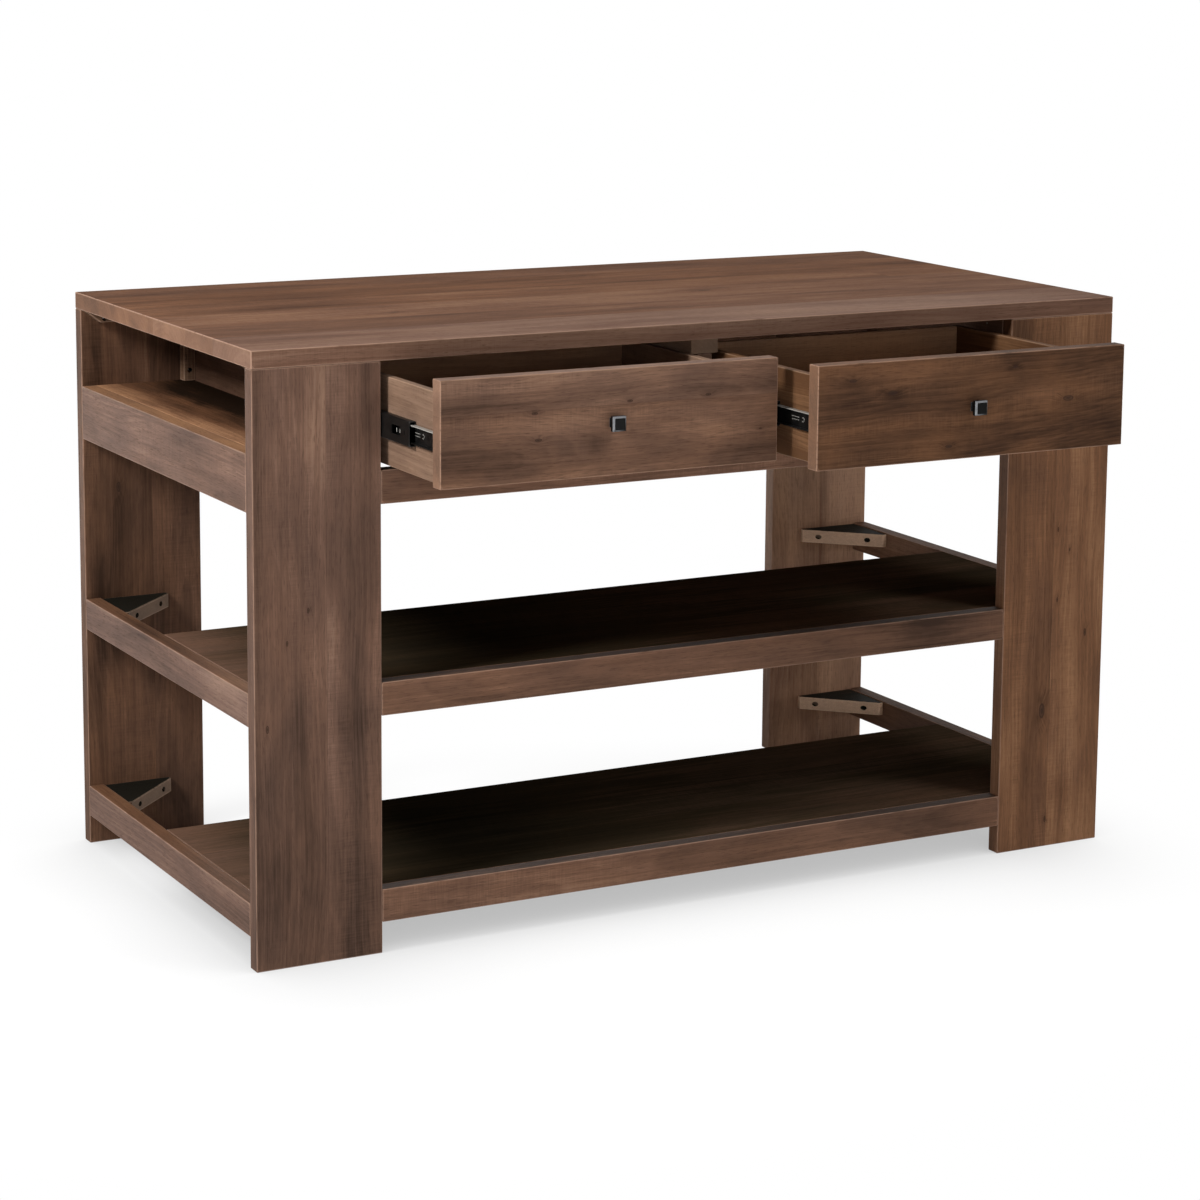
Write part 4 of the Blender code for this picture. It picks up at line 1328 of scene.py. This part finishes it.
# %% End caps, catches and stampings
CAP = [(1.75, -18.7), (11.3, -18.7), (11.3, -14.3), (3.2, -14.3), (3.2, 14.3), (11.3, 14.3),
       (11.3, 18.7), (1.75, 18.7)]
CAP_FRONT, CAP_BACK = 0.0038, 0.0001
TABS = {"front": 0.0305, "rear": 0.0416}
TAB_HALF, TAB_RISE, TAB_NEAR, TAB_FAR = 0.0007, 0.003, 0.0019, 0.0031
RIM_PLACE, RIM_RADIUS, RIM_ANGLES = 0.048, 0.0032, range(40, 321, 20)
BAR_RISE = 0.0022
BAR_PLACES = (0.059, 0.066, 0.073, 0.080)
for slide, (wall, side) in SLIDES.items():
    face = wall + ORIGIN.x
    node = f"slide_{slide}_middle"
    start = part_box(node)[0].y
    outline = [(face + side * u / 1000, SLIDE_Z + v / 1000) for u, v in CAP]
    cap = pushed_out(f"cap_{slide}", outline, Y, start - CAP_FRONT, start - CAP_BACK, bevel=0.0005,
                     rub=0.001)
    extra(true_normals(cap), body_of[node], "slide", PLASTIC)
    for place, along in TABS.items():
        middle = start + along
        tab = rectangle(middle - TAB_HALF, SLIDE_Z - TAB_RISE, middle + TAB_HALF,
                        SLIDE_Z + TAB_RISE)
        ends = sorted((face + side * TAB_NEAR, face + side * TAB_FAR))
        catch = pushed_out(f"catch_{place}_{slide}", tab, X, *ends, bevel=0.0002, rub=0.0004)
        extra(true_normals(catch), body_of[node], "screw", ZINC)
    node = f"slide_{slide}_drawer"
    out, spot = Vector((-side, 0, 0)), Vector((face + side * WEB_FACE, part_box(node)[0].y, SLIDE_Z))
    shape = new_shape()
    angles = [math.radians(angle) for angle in RIM_ANGLES]
    rim = [Vector((0, RIM_PLACE + RIM_RADIUS * math.cos(a), RIM_RADIUS * math.sin(a)))
           for a in angles]
    bead(shape, [spot + place for place in rim], out, *RIM_BEAD)
    for rise in (-BAR_RISE, BAR_RISE):
        bead(shape, [spot + Vector((0, along, rise)) for along in BAR_PLACES], out, *BAR_BEAD)
    stamping = piece_from(f"stamping_{slide}", shape[0])
    extra(true_normals(stamping), body_of[node], "slide", STEEL)
print("caps:", count_of("cap_"), "catches:", count_of("catch_"), "stampings:",
      count_of("stamping_"))

# %% [markdown]
# Steel balls run in rows between the channels. An Array modifier could repeat one ball, but every
# row would need its own. This tree lays a row at each start point, with the pitch of the ball cage
# and the diameter as inputs. The balls between the fixed and the middle channel stay with the case,
# the others travel with the middle channel.

# %% Ball rows
OUTER_BALLS = {"Pitch": 0.0125, "Count": 11, "Diameter": 0.0027}
INNER_BALLS = {"Pitch": 0.0135, "Count": 16, "Diameter": 0.004}
OUTER_ROWS = (0.0066, 0.0202)  # From the case wall, and above or below the middle of the slide.
INNER_ROWS = (0.0062, 0.01555)
# Where a row starts: on the case, and behind the front of a middle channel.
OUTER_START, INNER_START = at(0, 0.042, 0).y, 0.014


def make_ball_tree():
    tree, given, result = new_recipe("ball_rows", [
        ("Pitch", "Float", 0.014), ("Count", "Int", 10), ("Diameter", "Float", 0.003)])
    step = add(tree, "ShaderNodeCombineXYZ", 0.0, given["Pitch"], 0.0)
    row = add(tree, "MeshLine", Count=given["Count"], Offset=step)
    ball = add(tree, "MeshUVSphere", Segments=10, Rings=6, Radius=given["Diameter"] / 2.0)
    balls = set_on(set_on(given["Geometry"], row), ball)
    finish_with(add(tree, "SetShadeSmooth", balls), given, result)
    return tree


def row_starts(slide, from_wall, rise, start):
    wall, side = SLIDES[slide]
    return [(wall + ORIGIN.x + side * from_wall, start, SLIDE_Z + z) for z in (-rise, rise)]


def balls(name, body, starts, sizes):
    rows = with_nodes(new_piece(name, starts), BALL_ROWS, Finish=ZINC, **sizes)
    return extra(rows, body, "screw", ZINC)


BALL_ROWS = make_ball_tree()
balls("balls_carcass", "carcass",
      [spot for slide in SLIDES for spot in row_starts(slide, *OUTER_ROWS, OUTER_START)],
      OUTER_BALLS)
for slide in SLIDES:
    node = f"slide_{slide}_middle"
    balls(f"balls_{slide}", body_of[node],
          row_starts(slide, *INNER_ROWS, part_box(node)[0].y + INNER_START), INNER_BALLS)
print("ball rows:", 2 * 2 * len(SLIDES))

# %% [markdown]
# A knob is a short neck under a square head. Two cubes with a Bevel modifier would come close, but
# the foot flares and the rim of the head is cut at a slant. So it is lofted from rounded squares,
# from the drawer front outwards, and its bevels stay crisp and catch the light. The bevels at the
# top and on the left are painted palest, a painted highlight, and the other sides less, partly as
# wear.

# %% Knobs
# Size, distance from the drawer front and corner radius in millimetres, and the wear, which on the
# head's bevels is mostly a painted highlight.
KNOB_LOOPS = [
    (12.8, 0.0, 0.8, 0), (14.0, 0.4, 0.9, 1), (13.4, 1.0, 0.9, 0), (11.0, 2.4, 0.9, 0),
    (10.5, 3.0, 0.9, 0), (10.5, 10.9, 0.9, 0), (11.1, 11.6, 0.9, 0), (21.8, 11.7, 1.1, 0),
    (22.5, 12.3, 1.2, 0), (22.5, 16.8, 1.2, 0), (22.1, 17.45, 1.2, 1), (21.5, 17.76, 1.2, 0.9),
    (18.1, 19.54, 1.2, 0.9), (17.5, 19.85, 1.2, 1), (16.6, 20.2, 1.1, 0), (12.0, 20.2, 0.9, 0)]
# The painted highlight lies on the top and left bevels; the other sides keep a share of it.
HIGHLIGHT_FROM, HIGHLIGHT_ELSEWHERE = 0.4, 0.6  # A share of the size, and the wear on the other sides.


def rounded_square(size, radius, steps=5):
    half = size / 2 - radius
    ring = []
    for quarter, (sx, sy) in enumerate(((1, 1), (-1, 1), (-1, -1), (1, -1))):
        for k in range(steps + 1):
            angle = (quarter + k / steps) * math.pi / 2
            ring.append((sx * half + radius * math.cos(angle),
                         sy * half + radius * math.sin(angle)))
    return ring


def knob(side):
    node = f"knob_{side}"
    low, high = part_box(node)
    middle = (low + high) / 2
    made, point = new_shape()
    loops = []
    for size, out, radius, wear in KNOB_LOOPS:
        size, out, radius = size / 1000, out / 1000, radius / 1000
        loops.append([point((middle.x + u, high.y - out, middle.z + v),
                            wear if max(v, -u) > HIGHLIGHT_FROM * size else HIGHLIGHT_ELSEWHERE * wear)
                      for u, v in rounded_square(size, radius)])
    loft(made, loops)
    return hand_over(true_normals(piece_from("metal_" + node, made), angle=35), node, SATIN)


print("knobs:", knob("left").name, knob("right").name)

# %% [markdown]
# A screw is a domed head with a cross recess on a round shank. Each could be an object of its own,
# but one piece for each body is simpler to move. So the third tree makes one screw and sets it on
# points that carry the way the head faces and its size. Each is turned by a random angle from a
# fixed seed, because no two screws stop at the same place.

# %% The tree of a screw
DOME_RISE = 0.55
BLADES, BLADE_RISE = ((1.05, 0.2, 0.5), (0.2, 1.05, 0.5)), 0.48
SHANK_RADIUS = 0.44
FULL_TURN = 6.28
SCREW_SEED = 3


def make_screw_tree():
    """One screw with a head of radius 1, set on points and scaled to their size."""
    tree, given, result = new_recipe("screws", [
        ("Shank", "Float", 4.0), ("Seed", "Int", SCREW_SEED)])
    dome = add(tree, "MeshUVSphere", Segments=24, Rings=12)
    head = add(tree, "Transform", dome, Scale=(1, 1, DOME_RISE))
    blades = [add(tree, "Transform", add(tree, "MeshCube", Size=size),
                  Translation=(0, 0, BLADE_RISE)) for size in BLADES]
    cross = add(tree, "JoinGeometry", blades)
    driven = add(tree, "MeshBoolean", operation="DIFFERENCE", solver="EXACT",
                 Mesh_1=head, Mesh_2=cross)
    shank = add(tree, "MeshCylinder", Vertices=14, Radius=SHANK_RADIUS, Depth=given["Shank"])
    below = add(tree, "ShaderNodeCombineXYZ", 0.0, 0.0, given["Shank"] * -0.5)
    sunk = add(tree, "Transform", shank, Translation=below)
    screw = add(tree, "JoinGeometry", [driven, sunk])
    facing = add(tree, "InputNamedAttribute", data_type="FLOAT_VECTOR", Name="facing")
    size = add(tree, "InputNamedAttribute", data_type="FLOAT", Name="size")
    aligned = add(tree, "FunctionNodeAlignRotationToVector", axis="Z", Vector=facing)
    # The fourth input of Random Value is the upper end of a plain number, its second output.
    chance = add(tree, "FunctionNodeRandomValue", None, None, None, FULL_TURN, out=1,
                 data_type="FLOAT", Seed=given["Seed"])
    turn = add(tree, "FunctionNodeAxisAngleToRotation", Angle=chance)
    turned = add(tree, "FunctionNodeRotateRotation", rotation_space="LOCAL", Rotation=aligned,
                 Rotate_By=turn)
    placed = set_on(given["Geometry"], screw, Rotation=turned, Scale=size)
    finish_with(placed, given, result)
    return tree


SCREW_TREE = make_screw_tree()
print("screw tree:", len(SCREW_TREE.nodes), "nodes")

# %% Screws in their places
SHORT_SHANK, LONG_SHANK = 2.6, 7.2
CASE_SCREW, CASE_HEAD = at(1.3218, 0.070, 0.8826), 0.0038
KNOB_HEAD, KNOB_SINK = 0.0045, 0.0026


def screws(name, spots, shank):
    """A piece with a screw at each spot: a place, the way its head faces and the head's radius."""
    places, facings, sizes = zip(*spots)
    obj = new_piece(name, places)
    write_values(obj.data, "facing", [c for facing in facings for c in facing], "POINT")
    write_values(obj.data, "size", sizes, "POINT")
    return true_normals(with_nodes(obj, SCREW_TREE, Shank=shank, Seed=SCREW_SEED, Finish=ZINC))


SCREWS["carcass"].append((CASE_SCREW, (-1, 0, 0), CASE_HEAD))
for body, spots in SCREWS.items():
    extra(screws(f"screws_{body}", spots, SHORT_SHANK), body, "screw", ZINC)
for side in ("left", "right"):
    node = f"knob_screw_{side}"
    low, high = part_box(node)
    place = Vector(((low.x + high.x) / 2, high.y - KNOB_SINK, (low.z + high.z) / 2))
    hand_over(screws("metal_" + node, [(place, (0, 1, 0), KNOB_HEAD)], LONG_SHANK), node, ZINC)
print("screws:", sum(len(spots) for spots in SCREWS.values()) + 2)
